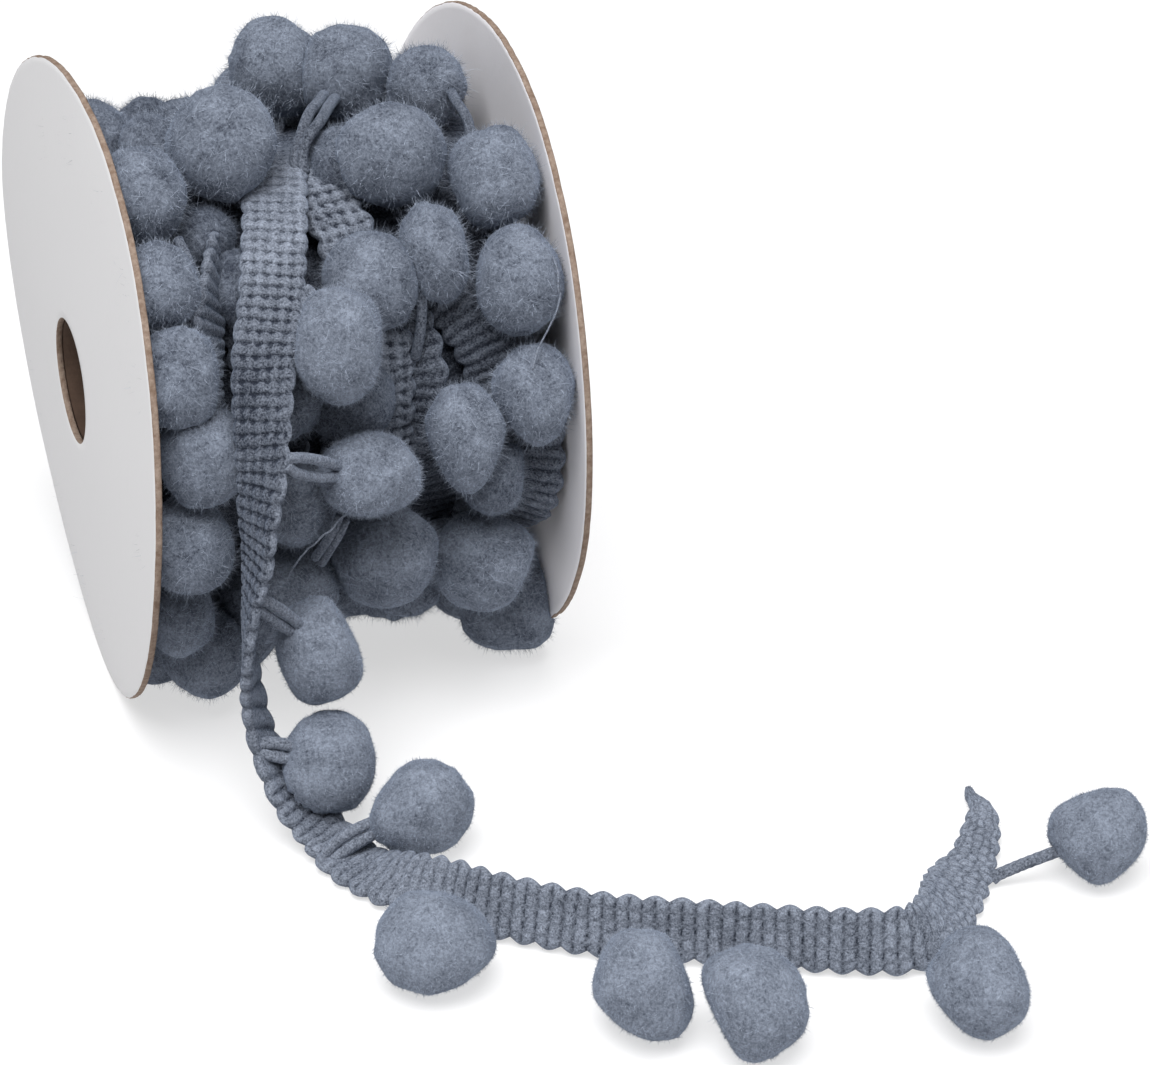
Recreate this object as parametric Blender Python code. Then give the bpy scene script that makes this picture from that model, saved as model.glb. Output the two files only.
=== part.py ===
"""Pompom fringe trim wound on a card reel, its loose end hanging off the front and lying on the surface.

Sizes below are in millimetres and the meshes are written in metres. The reel's axis lies along X, +Z is up
and the loose end comes off towards -Y. Angles round the reel are in degrees: 0 faces -Y and 90 faces up.
"""

import math

import bmesh
import bpy
import numpy as np
from mathutils import Vector

MM = 0.001
CLEAR = 0.3                # gap kept between neighbouring pieces
SAFE_CLEAR = 0.35          # the same beside a warped or faceted piece
SOFT_CLEAR = 0.6           # and round a pressed pompom
SEED = 7

# The reel
FLANGE_RADIUS = 50.0
FLANGE_SIDES = 44          # one of the flats is underneath and carries the reel
FLANGE_RINGS = (23.0, 37.0)   # radii between the bore and the rim where the card may bend
CARD = 1.1                 # thickness of the pressed card
BORE_RADIUS = 9.7
CORE_WALL = 1.3
CORE_SIDES = 28
REEL_GAP = 64.7            # between the flanges' inner faces at the rim
AXIS_HEIGHT = FLANGE_RADIUS * math.cos(math.pi / FLANGE_SIDES)

# How each card flange has warped: side of the reel, outward bow, two saddle terms and two leans
FLANGES = {
    "flange_left": {"side": -1, "bow": 1.6, "saddle_up": -0.6, "saddle_skew": -1.2,
                    "lean_y": 0.009, "lean_z": 0.011},
    "flange_right": {"side": 1, "bow": 1.2, "saddle_up": -1.2, "saddle_skew": 0.3,
                     "lean_y": -0.005, "lean_z": 0.0},
}

# The trim: a knitted braid with a looped edge, and felted pompoms on short stalks along one edge
BRAID_HALF = 5.0
BRAID_THICK = 2.0
LOOP_PITCH = 3.75          # one picot loop of the braid's edge
LOOP_DEPTH = 0.6
EDGE_BEVEL = 0.8           # the braid's section narrows to its edge over this width
EDGE_THIN = 0.25           # the braid's faces sink this far between two ribs
EDGE_STRIP = 1.3           # the strip along the edge that carries the pompoms
STALK_RADIUS = 0.95
FACET_SWELL = 1.03         # a ball's flat facets lie inside its true surface, so its corners stand out
BALL_RINGS = (11, 48, 88, 128)                 # where a ball has its rings, in degrees from the stalk
FINE_BALL_RINGS = (9, 34, 62, 90, 116, 144)

# The wound pack
PACK_HALF_WIDTH = 31.4
PACK_INNER = BORE_RADIUS + CORE_WALL + CLEAR
PACK_VALLEY = 31.0         # between two turns
PACK_CREST = 32.3          # on the top turns
PACK_SIDES = 26
PACK_BAND = (5.2, 3.6)     # half width of a turn's band at its foot and on top
BAND_SINK = 0.35           # how far the bands rise and fall round the reel
STRIP_INNER = PACK_CREST + SOFT_CLEAR
STRIP_THICK = 1.5
STRIP_WIDTH = 2.0
STRIP_STOPS = 9
STRIPS_PER_TURN = 3
STRIP_STAGGER = 24.0       # degrees from one turn's first strip to the next turn's
STALK_MARGIN = 5.0         # degrees that a stalk keeps from its strip's ends
POMPOM_FLOOR = STRIP_INNER + STRIP_THICK + 0.5   # pompoms are pressed flat on the pack at this radius
NEIGHBOUR_REACH = 20.0     # two pompoms can only meet when their centres are nearer than this
SMALLEST_SHARE = 0.3       # of its radius that a ball keeps where the braid presses it

# One row for each turn that shows: where it lies along the reel, how far it wanders, and the
# unseen stretch of it (first angle, last angle, number of pompoms) that is filled evenly
TURNS = [
    {"x": -26.0, "wander": 1.0, "phase": 20, "fill_from": 160, "fill_to": 280, "fill": 6},
    {"x": -13.0, "wander": 1.4, "phase": 140, "fill_from": 160, "fill_to": 284, "fill": 7},
    {"x": 0.8, "wander": 1.2, "phase": 250, "fill_from": 151, "fill_to": 276, "fill": 7},
    {"x": 13.8, "wander": 1.4, "phase": 60, "fill_from": 143, "fill_to": 276, "fill": 7},
    {"x": 26.0, "wander": 1.0, "phase": 190, "fill_from": 151, "fill_to": 278, "fill": 7},
]

# Pompoms that show on the front of the reel: turn, place along the reel, angle, radius of the centre,
# size along the reel and size round it
FRONT_POMPOMS = [
    # turn, x, angle, radius, width, height
    (0, -25.0, 139, 37.2, 12.5, 11.0),
    (0, -27.0, 112, 37.0, 12.5, 10.5),
    (0, -28.0, 88, 38.5, 12.0, 13.0),
    (0, -21.6, 80, 39.0, 10.5, 12.5),
    (0, -26.4, 63, 42.5, 13.0, 15.0),
    (0, -27.4, 42, 42.0, 11.5, 13.5),
    (0, -27.2, 24, 42.5, 13.0, 15.5),
    (0, -24.4, 7, 40.8, 13.0, 15.5),
    (0, -27.6, -14, 41.5, 13.5, 15.0),
    (0, -28.0, -38, 41.5, 11.0, 14.0),
    (0, -22.0, -58, 44.5, 14.0, 15.5),
    (1, -13.0, 140, 37.2, 12.0, 10.5),
    (1, -16.5, 118, 37.0, 10.5, 8.5),
    (1, -13.4, 95, 37.0, 12.0, 10.5),
    (1, -13.0, 70, 45.2, 16.5, 17.0),
    (1, -17.6, 56, 39.5, 11.0, 11.5),
    (1, -14.6, 42, 38.5, 10.5, 13.0),
    (1, -10.6, 16, 39.0, 11.0, 13.0),
    (1, -11.2, -8, 40.0, 12.5, 13.5),
    (1, -10.0, -34, 42.0, 13.0, 13.5),
    (1, -12.0, -55, 38.6, 13.0, 12.5),
    (2, 2.8, 131, 40.5, 13.0, 13.0),
    (2, 3.6, 106, 44.5, 15.5, 15.5),
    (2, 6.0, 70, 40.0, 11.5, 13.0),
    (2, 4.2, 37, 40.5, 14.5, 15.0),
    (2, 0.4, 13, 38.5, 13.5, 13.0),
    (2, 3.4, -28, 41.0, 16.5, 17.0),
    (2, 2.0, -54, 38.0, 13.0, 11.5),
    (3, 14.2, 120, 38.0, 14.0, 14.0),
    (3, 12.6, 98, 43.3, 15.0, 14.5),
    (3, 12.0, 63, 43.5, 16.5, 15.0),
    (3, 14.2, 41, 42.0, 10.8, 15.5),
    (3, 15.2, 2, 42.5, 12.5, 16.5),
    (3, 16.5, -42, 38.5, 12.0, 12.0),
    (3, 9.6, -50, 40.2, 12.0, 11.5),
    (4, 26.0, 132, 37.5, 13.0, 13.0),
    (4, 27.5, 112, 37.2, 12.0, 12.5),
    (4, 24.5, 90, 41.5, 12.5, 13.0),
    (4, 26.0, 54, 43.0, 13.8, 16.0),
    (4, 25.6, 32, 43.0, 13.2, 16.2),
    (4, 26.0, 9, 43.0, 13.2, 16.0),
    (4, 22.4, -11, 40.5, 11.5, 13.5),
    (4, 20.4, -32, 43.5, 17.0, 15.5),
    (4, 27.6, -59, 45.4, 16.0, 15.5),
]

# The unseen ones: radius of the centre and the two sizes, then how far x, angle and these may differ
FILL_POMPOM = (42.6, 14.6, 15.4)
FILL_SPREAD = np.array([1.8, 2.0, 1.4, 1.0, 1.0])

# The loose end's middle line from under the top pompoms to the cut tip. heading and rise give the
# direction from the pompom edge to the plain edge; share is the width that is left at the tip.
LOOSE_END = [
    # x, y, z, heading, rise, share
    (-2.4, 0.0, 86.0, 180, 0, 1.0),
    (-3.6, -7.5, 86.6, 180, 0, 1.0),
    (-5.4, -15.5, 86.4, 178, 0, 1.0),
    (-8.7, -27.0, 82.5, 172, 0, 1.0),
    (-12.3, -36.5, 75.9, 166, 0, 1.0),
    (-15.0, -42.8, 70.9, 162, 0, 1.0),
    (-16.7, -47.3, 65.7, 158, 0, 1.0),
    (-17.9, -50.0, 60.8, 147, 0, 1.0),
    (-19.2, -52.5, 55.9, 126, 0, 1.0),
    (-20.5, -54.0, 50.4, 110, 0, 1.0),
    (-21.0, -54.5, 44.2, 97, 0, 1.0),
    (-22.3, -54.8, 38.0, 83, 0, 1.0),
    (-23.3, -55.0, 29.9, 69, 0, 1.0),
    (-22.4, -55.5, 19.6, 50, -2, 1.0),
    (-20.1, -57.4, 12.2, 40, -8, 1.0),
    (-17.4, -61.2, 5.8, 31, -10, 1.0),
    (-14.7, -66.2, 2.3, 24, -2, 1.0),
    (-13.0, -73.6, 1.6, 22, 5, 1.0),
    (-8.8, -83.4, 3.9, 36, 35, 1.0),
    (-3.8, -90.1, 4.9, 46, 57, 1.0),
    (1.0, -95.6, 5.3, 52, 69, 1.0),
    (12.3, -104.6, 5.3, 57, 74, 1.0),
    (24.7, -111.3, 5.4, 62, 77, 1.0),
    (37.2, -117.8, 5.4, 64, 76, 1.0),
    (46.6, -122.1, 5.4, 72, 72, 1.0),
    (52.8, -122.9, 5.0, 100, 60, 1.0),
    (58.4, -119.2, 4.4, 130, 45, 1.0),
    (64.2, -113.6, 3.2, 138, 25, 1.0),
    (69.6, -107.0, 2.0, 140, 8, 1.0),
    (73.9, -100.5, 1.5, 148, 2, 0.92),
    (76.9, -93.5, 1.9, 155, 0, 0.6),
    (78.9, -87.2, 2.8, 160, 0, 0.22),
]

# Pompoms of the loose end in their order along it: which strip carries it, its centre, its sizes along
# X, Y and Z, and how far its stalk rises off the braid's face before it turns towards the ball
FIRST_STALK = 42.8         # distance along the loose end
POMPOM_PITCH = 22.7
LOOSE_POMPOMS = [
    # strip, x, y, z, width, depth, height, lift
    (0, -4.2, -44.6, 71.4, 14.0, 13.0, 18.0, 0.0),
    (0, -1.4, -46.6, 50.4, 15.5, 14.5, 13.5, 0.0),
    (0, -11.2, -52.0, 25.4, 14.5, 14.0, 16.0, 2.0),
    (1, -10.3, -54.9, 7.8, 15.0, 15.0, 15.6, 2.4),
    (1, -2.4, -71.2, 7.4, 15.0, 14.6, 14.8, 3.0),
    (2, -11.2, -102.4, 7.6, 17.0, 16.0, 15.2, 0.0),
    (2, 12.1, -122.8, 7.5, 14.4, 16.5, 15.0, 0.0),
    (2, 24.4, -131.8, 7.6, 15.0, 17.5, 15.2, 0.0),
    (3, 54.9, -138.9, 7.4, 14.4, 15.6, 14.8, 0.0),
    (3, 87.0, -112.1, 7.2, 14.8, 13.8, 14.4, 0.0),
]

# The strips of the loose end's pompom edge, as first and last loop of the braid
LOOSE_STRIPS = [
    {"name": "loose_fringe_drop", "first": 1, "last": 27},
    {"name": "loose_fringe_bend", "first": 27, "last": 39},
    {"name": "loose_fringe_front", "first": 39, "last": 57},
    {"name": "loose_fringe_end", "first": 57, "last": 67},
]

COLOURS = {
    "card": {"colour": (0.70, 0.69, 0.70), "roughness": 0.75},
    "kraft": {"colour": (0.20, 0.13, 0.09), "roughness": 0.85},
    "braid": {"colour": (0.16, 0.18, 0.23), "roughness": 0.95},
    "felt": {"colour": (0.20, 0.23, 0.29), "roughness": 1.0},
}


def clear_scene():
    for old in list(bpy.data.objects):
        bpy.data.objects.remove(old)


def make_material(name):
    look = COLOURS[name]
    material = bpy.data.materials.new(name)
    material.use_nodes = True
    shader = material.node_tree.nodes["Principled BSDF"]
    shader.inputs["Base Color"].default_value = (*look["colour"], 1.0)
    shader.inputs["Roughness"].default_value = look["roughness"]
    shader.inputs["Metallic"].default_value = 0.0
    return material


def make_object(name, points, faces, material, parent):
    """A closed solid from points in millimetres round the reel's own origin, its faces turned outward."""
    mesh = bpy.data.meshes.new(name)
    mesh.from_pydata([tuple(p) for p in np.asarray(points, float) * MM], [], faces)
    work = bmesh.new()
    work.from_mesh(mesh)
    bmesh.ops.recalc_face_normals(work, faces=work.faces)
    work.to_mesh(mesh)
    work.free()
    mesh.shade_smooth()
    mesh.materials.append(material)
    made = bpy.data.objects.new(name, mesh)
    bpy.context.scene.collection.objects.link(made)
    made.parent = parent
    return made


def on_reel(x, angle, radius):
    """A point by its place along the reel, its angle round it in degrees and its distance from the axis."""
    turn = np.radians(angle)
    return np.array([x, -radius * np.cos(turn), AXIS_HEIGHT + radius * np.sin(turn)])


def flange_face(name, y, z):
    """Where a warped flange's inner face lies along X; y and z are measured from the reel's axis."""
    warp = FLANGES[name]
    share = (y * y + z * z) / FLANGE_RADIUS**2
    theta = np.arctan2(z, y)
    saddle = warp["saddle_up"] * np.cos(2 * theta) + warp["saddle_skew"] * np.sin(2 * theta)
    flat = warp["side"] * (REEL_GAP / 2 + warp["bow"] * (1 - share))
    return flat + share * saddle + warp["lean_y"] * y + warp["lean_z"] * z


def ring_faces(ring_count, around, closed):
    """Quads between rings of points; closed joins the last ring to the first."""
    faces = []
    for r in range(ring_count if closed else ring_count - 1):
        here = r * around
        there = ((r + 1) % ring_count) * around
        for i in range(around):
            j = (i + 1) % around
            faces.append((here + i, here + j, there + j, there + i))
    return faces


def sweep_faces(ring_count, around):
    """A tube of rings with both ends capped."""
    faces = ring_faces(ring_count, around, closed=False)
    faces.append(tuple(range(around)))
    faces.append(tuple((ring_count - 1) * around + i for i in range(around)))
    return faces


def make_flange(name, material, root):
    warp = FLANGES[name]
    radii = (BORE_RADIUS, *FLANGE_RINGS, FLANGE_RADIUS)
    loop = [(r, 0.0) for r in radii] + [(r, CARD) for r in reversed(radii)]
    angles = (np.arange(FLANGE_SIDES) + 0.5) * 2 * math.pi / FLANGE_SIDES + math.pi / 2
    points = []
    for radius, out in loop:
        y = radius * np.cos(angles)
        z = radius * np.sin(angles)
        x = flange_face(name, y, z) + warp["side"] * out
        points.extend(np.stack([x, y, z + AXIS_HEIGHT], axis=1))
    return make_object(name, points, ring_faces(len(loop), FLANGE_SIDES, closed=True), material, root)


def make_core(material, root):
    left = flange_face("flange_left", 0.0, BORE_RADIUS) + SAFE_CLEAR
    right = flange_face("flange_right", 0.0, BORE_RADIUS) - SAFE_CLEAR
    outer = BORE_RADIUS + CORE_WALL
    loop = [(left, BORE_RADIUS), (right, BORE_RADIUS), (right, outer), (left, outer)]
    angles = np.arange(CORE_SIDES) * 360.0 / CORE_SIDES
    points = [on_reel(x, angle, radius) for x, radius in loop for angle in angles]
    return make_object("core_tube", points, ring_faces(len(loop), CORE_SIDES, closed=True), material, root)


def turn_place(turn, angle):
    """How far along the reel the middle of a turn lies at an angle."""
    row = TURNS[turn]
    return row["x"] + row["wander"] * np.sin(np.radians(2 * angle + row["phase"]))


def make_pack(material, root):
    """The wound trim as one ring with a raised band for each turn on top."""
    angles = np.arange(PACK_SIDES) * 360.0 / PACK_SIDES
    rings = [(np.full(PACK_SIDES, -PACK_HALF_WIDTH), np.full(PACK_SIDES, PACK_INNER)),
             (np.full(PACK_SIDES, -PACK_HALF_WIDTH), np.full(PACK_SIDES, PACK_VALLEY - 1.0))]
    for turn, row in enumerate(TURNS):
        middle = turn_place(turn, angles)
        lift = PACK_CREST - BAND_SINK * (1 + np.sin(np.radians(3 * angles + row["phase"])))
        foot, top = PACK_BAND
        for across, radius in ((-foot, PACK_VALLEY), (-top, lift), (top, lift), (foot, PACK_VALLEY)):
            rings.append((np.clip(middle + across, CLEAR - PACK_HALF_WIDTH, PACK_HALF_WIDTH - CLEAR),
                          radius * np.ones(PACK_SIDES)))
    rings.append((np.full(PACK_SIDES, PACK_HALF_WIDTH), np.full(PACK_SIDES, PACK_VALLEY - 1.0)))
    rings.append((np.full(PACK_SIDES, PACK_HALF_WIDTH), np.full(PACK_SIDES, PACK_INNER)))
    points = [on_reel(x, angle, radius) for xs, radii in rings for x, angle, radius in zip(xs, angles, radii)]
    return make_object("wound_braid", points, ring_faces(len(rings), PACK_SIDES, closed=True), material, root)


def smooth_path(rows, step):
    """Rows of numbers read every step millimetres along a smooth curve through their first three columns."""
    rows = np.array(rows, float)
    before = np.vstack([2 * rows[0] - rows[1], rows[:-1]])
    after = np.vstack([rows[1:], 2 * rows[-1] - rows[-2]])
    slope = (after - before) / 2
    t = np.linspace(0, 1, 24, endpoint=False)[:, None]
    curve = []
    for k in range(len(rows) - 1):
        curve.append((2 * t**3 - 3 * t**2 + 1) * rows[k] + (t**3 - 2 * t**2 + t) * slope[k]
                     + (3 * t**2 - 2 * t**3) * rows[k + 1] + (t**3 - t**2) * slope[k + 1])
    curve = np.vstack(curve + [rows[-1:]])
    run = np.concatenate([[0], np.cumsum(np.linalg.norm(np.diff(curve[:, :3], axis=0), axis=1))])
    stops = np.arange(0, run[-1], step)
    return stops, np.stack([np.interp(stops, run, column) for column in curve.T], axis=1)


class LooseEnd:
    """The loose end's middle line with, at each stop, its direction, its across and its face direction."""

    def __init__(self):
        self.stops, rows = smooth_path(LOOSE_END, LOOP_PITCH / 2)
        self.middle = rows[:, :3]
        self.share = rows[:, 5]
        along = np.gradient(self.middle, axis=0)
        along /= np.linalg.norm(along, axis=1, keepdims=True)
        heading, rise = np.radians(rows[:, 3]), np.radians(rows[:, 4])
        level = np.cos(rise)
        across = np.stack([level * np.cos(heading), level * np.sin(heading), np.sin(rise)], axis=1)
        across -= along * (across * along).sum(axis=1, keepdims=True)
        across /= np.linalg.norm(across, axis=1, keepdims=True)
        self.along = along
        self.across = across
        self.face = np.cross(along, across)
        lowest = self.middle[:, 2] - BRAID_HALF * self.share * np.abs(across[:, 2]) - np.abs(self.face[:, 2])
        self.middle[:, 2] += np.maximum(0.0, -lowest)

    def at(self, distance):
        """The nearest stop's number."""
        return int(np.argmin(np.abs(self.stops - distance)))

    def place(self, stop, across, face):
        return self.middle[stop] + self.share[stop] * across * self.across[stop] + face * self.face[stop]

    def rings(self, stops, outline):
        """outline(loop) gives the section's (across, face) pairs; loop is 1 on a picot and 0 beside it."""
        return [self.place(s, a, f) for s in stops for a, f in outline(s % 2)]


def braid_outline(loop):
    """The sheet's section: it stops short of the pompom edge, which is the strip's."""
    edge = BRAID_HALF - LOOP_DEPTH * (1 - loop)
    half = BRAID_THICK / 2 - EDGE_THIN * (1 - loop)
    inner = EDGE_STRIP + CLEAR - BRAID_HALF
    return [(inner, half), (edge - EDGE_BEVEL, half), (edge, 0.0), (edge - EDGE_BEVEL, -half), (inner, -half)]


def strip_outline(loop):
    edge = BRAID_HALF - LOOP_DEPTH * (1 - loop)
    inner = EDGE_STRIP - BRAID_HALF
    thick, thin = 0.4 * BRAID_THICK, 0.25 * BRAID_THICK
    return [(inner, thick), (-edge, thin), (-edge, -thin), (inner, -thick)]


def pompom_rings(centre, axes, root, segments, ring_angles):
    """A pompom and its stalk as one tube of rings from root to the far pole of the ball.

    axes are the ball's three half sizes as vectors; ring_angles are measured at the centre from the root.
    """
    towards = centre - root
    towards /= np.linalg.norm(towards)
    side = np.cross(towards, (0.0, 0.0, 1.0) if abs(towards[2]) < 0.9 else (0.0, 1.0, 0.0))
    side /= np.linalg.norm(side)
    up = np.cross(towards, side)
    turn = np.arange(segments) * 2 * math.pi / segments
    spin = np.cos(turn)[:, None] * side + np.sin(turn)[:, None] * up
    rings = [root + STALK_RADIUS * spin]
    for angle in np.radians(ring_angles):
        direction = -math.cos(angle) * towards + math.sin(angle) * spin
        rings.append(centre + direction @ axes)
    pole = centre + towards @ axes
    return rings, pole


def ball_axes(width, depth, height, frame):
    """Half sizes along the three directions of frame, as a matrix that stretches a unit direction."""
    frame = np.array(frame, float)
    return frame.T @ np.diag([width, depth, height]) @ frame * FACET_SWELL / 2


class Pompom:
    """One felted ball: its centre, its shape and the point of the strip that its stalk grows from."""

    def __init__(self, centre, axes, root, over=None, segments=8, ring_angles=BALL_RINGS):
        self.centre = centre
        self.axes = axes
        self.root = root
        self.over = over
        self.segments = segments
        self.rings, self.pole = pompom_rings(centre, axes, over if over is not None else root,
                                             segments, ring_angles)

    def reach(self, direction):
        return np.linalg.norm(self.axes @ direction)

    def press(self, limit):
        """limit(points) gives for each point the share of its distance from the centre that it may keep."""
        self.move(lambda points: self.centre + (points - self.centre) * limit(points)[:, None])

    def move(self, change):
        self.rings[1:] = [change(ring) for ring in self.rings[1:]]
        self.pole = change(self.pole[None])[0]

    def solid(self):
        """Points and faces of the stalk and ball; a stalk that crosses the braid has one ring more."""
        rings = list(self.rings)
        if self.over is not None:
            rings.insert(0, rings[0] + (self.root - self.over))
        around = self.segments
        points = np.vstack(rings + [self.pole[None]])
        faces = ring_faces(len(rings), around, closed=False)
        faces.append(tuple(range(around)))
        last = (len(rings) - 1) * around
        tip = len(rings) * around
        faces += [(last + i, last + (i + 1) % around, tip) for i in range(around)]
        return points, faces


def press_neighbours(pompoms):
    """Two pompoms that would meet flatten against a plane between them."""
    for one in pompoms:
        for other in pompoms:
            gap = other.centre - one.centre
            distance = np.linalg.norm(gap)
            if one is other or distance > NEIGHBOUR_REACH:
                continue
            direction = gap / distance
            mine, theirs = one.reach(direction), other.reach(direction)
            if mine + theirs + CLEAR < distance:
                continue
            wall = distance * mine / (mine + theirs) - SAFE_CLEAR / 2

            def share(points, centre=one.centre, direction=direction, wall=wall):
                out = np.maximum((points - centre) @ direction, 1e-6)
                return np.minimum(1.0, wall / out)

            one.press(share)


def press_on_flanges(points):
    """Points that would pass through a flange are moved back along X."""
    points = points.copy()
    y, z = points[:, 1], points[:, 2] - AXIS_HEIGHT
    left = flange_face("flange_left", y, z) + SOFT_CLEAR
    right = flange_face("flange_right", y, z) - SOFT_CLEAR
    points[:, 0] = np.clip(points[:, 0], left, right)
    return points


def press_on_pack(points):
    """Points that would sink into the pack are moved out to the pompoms' floor."""
    y, z = points[:, 1], points[:, 2] - AXIS_HEIGHT
    radius = np.hypot(y, z)
    grow = np.maximum(1.0, POMPOM_FLOOR / radius)
    return np.stack([points[:, 0], y * grow, z * grow + AXIS_HEIGHT], axis=1)


def press_on_floor(points, lowest=0.0):
    """Points below the lowest height are raised to it."""
    return np.stack([points[:, 0], points[:, 1], np.maximum(points[:, 2], lowest)], axis=1)


def press_on_braid(pompom, loose):
    """A pompom that meets the loose end flattens against its face or its edge."""
    half_thick = BRAID_THICK / 2 + SOFT_CLEAR
    half_wide = BRAID_HALF + SOFT_CLEAR

    def share(points):
        nearest = np.argmin(((points[:, None] - loose.middle[None]) ** 2).sum(axis=2), axis=1)
        middle, face, across = loose.middle[nearest], loose.face[nearest], loose.across[nearest]
        keep = np.zeros(len(points))
        meets = np.abs(((points - middle) * loose.along[nearest]).sum(axis=1)) < LOOP_PITCH
        for direction, half in ((face, half_thick), (across, half_wide)):
            own = ((pompom.centre - middle) * direction).sum(axis=1)
            side = np.where(own < 0, -1.0, 1.0)
            reach = side * ((points - middle) * direction).sum(axis=1)
            meets &= reach < half
            kept = (np.abs(own) - half) / np.maximum(np.abs(own) - reach, 1e-6)
            keep = np.maximum(keep, kept)
        return np.where(meets, np.clip(keep, SMALLEST_SHARE, 1.0), 1.0)

    pompom.press(share)


def first_angle(turn, strip):
    """Where one of a turn's strips starts round the reel."""
    return turn * STRIP_STAGGER + strip * 360.0 / STRIPS_PER_TURN


def strip_under(turn, angle):
    """The strip that carries a pompom, and the angle where the stalk leaves it, clear of the strip's ends."""
    arc = 360.0 / STRIPS_PER_TURN
    past = (angle - first_angle(turn, 0)) % 360
    strip = int(past // arc)
    return strip, first_angle(turn, strip) + min(max(past - strip * arc, STALK_MARGIN), arc - STALK_MARGIN)


def reel_pompoms():
    """Every pompom on the reel, by turn: the shown ones from their table, the rest spread along the turns."""
    chance = np.random.default_rng(SEED)
    rows = list(FRONT_POMPOMS)
    for turn, row in enumerate(TURNS):
        for angle in np.linspace(row["fill_from"], row["fill_to"], row["fill"]):
            usual = np.array([turn_place(turn, angle), angle, *FILL_POMPOM])
            rows.append((turn, *(usual + FILL_SPREAD * chance.uniform(-1, 1, 5))))
    made = []
    for turn, x, angle, radius, width, height in rows:
        centre = on_reel(x, angle, radius)
        outward = on_reel(0, angle, 1) - on_reel(0, angle, 0)
        around = np.cross(outward, (1.0, 0.0, 0.0))
        axes = ball_axes(width, (width + height) / 2, height, ((1, 0, 0), outward, around))
        strip, leaves_at = strip_under(turn, angle)
        root = on_reel(turn_place(turn, leaves_at), leaves_at, STRIP_INNER + STRIP_THICK / 3)
        pompom = Pompom(centre, axes, root)
        pompom.strip = (turn, strip)
        made.append(pompom)
    return made


def loose_pompoms(loose):
    made = []
    for order, (strip, x, y, z, width, depth, height, lift) in enumerate(LOOSE_POMPOMS):
        stop = loose.at(FIRST_STALK + order * POMPOM_PITCH)
        root = loose.place(stop, CLEAR - BRAID_HALF, 0.0)
        over = loose.place(stop, CLEAR - BRAID_HALF, lift) if lift else None
        axes = ball_axes(width, depth, height, np.eye(3))
        pompom = Pompom(np.array([x, y, z]), axes, root, over, segments=10, ring_angles=FINE_BALL_RINGS)
        pompom.strip = strip
        made.append(pompom)
    return made


def fuse(name, strip_points, strip_faces, pompoms, material, root):
    """The strip and its pompoms as one solid."""
    points = np.vstack([np.empty((0, 3))] + [p.solid()[0] for p in pompoms])
    faces = []
    start = 0
    for pompom in pompoms:
        own_points, own_faces = pompom.solid()
        faces += [tuple(start + i for i in face) for face in own_faces]
        start += len(own_points)
    balls = make_object(name + "_balls", points, faces, material, root)
    balls.hide_render = True
    balls.display_type = "WIRE"
    strip = make_object(name, strip_points, strip_faces, material, root)
    union = strip.modifiers.new("pompoms", "BOOLEAN")
    union.operation = "UNION"
    union.solver = "EXACT"
    union.object = balls
    return strip


def make_reel_fringe(pompoms, material, root):
    """Each turn's pompom edge in equal arcs, with the pompoms that grow from it."""
    arc = 360.0 / STRIPS_PER_TURN
    pause = math.degrees(SAFE_CLEAR / STRIP_INNER)
    inner, outer = STRIP_INNER, STRIP_INNER + STRIP_THICK
    for turn in range(len(TURNS)):
        for strip in range(STRIPS_PER_TURN):
            first = first_angle(turn, strip)
            angles = np.linspace(first + pause, first + arc - pause, STRIP_STOPS)
            points = []
            for x, angle in zip(turn_place(turn, angles), angles):
                for across, radius in ((-1, inner), (-1, outer), (1, outer), (1, inner)):
                    points.append(on_reel(x + across * STRIP_WIDTH / 2, angle, radius))
            own = [p for p in pompoms if p.strip == (turn, strip)]
            name = f"fringe_turn_{turn + 1}_{strip + 1}"
            fuse(name, points, sweep_faces(len(angles), 4), own, material, root)


def make_loose_end(loose, pompoms, braid, felt, root):
    stops = range(len(loose.stops))
    make_object("loose_braid", loose.rings(stops, braid_outline), sweep_faces(len(stops), 5), braid, root)
    for number, row in enumerate(LOOSE_STRIPS):
        stops = range(2 * row["first"], 2 * row["last"] + 1)
        points = loose.rings(stops, strip_outline)
        start = len(strip_outline(0))
        points[:start] = [point + loose.along[stops[0]] * SAFE_CLEAR for point in points[:start]]
        own = [p for p in pompoms if p.strip == number]
        fuse(row["name"], points, sweep_faces(len(stops), 4), own, felt, root)


def stand_on_origin(root):
    """Moves the reel so that the middle of the whole part's footprint is the origin."""
    bpy.context.view_layer.update()
    meshes = [o for o in bpy.context.scene.objects if o.type == "MESH"]
    corners = np.array([o.matrix_world @ v.co for o in meshes for v in o.data.vertices])
    middle = (corners.min(axis=0) + corners.max(axis=0)) / 2
    root.location = Vector((-middle[0], -middle[1], -corners[:, 2].min()))


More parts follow.
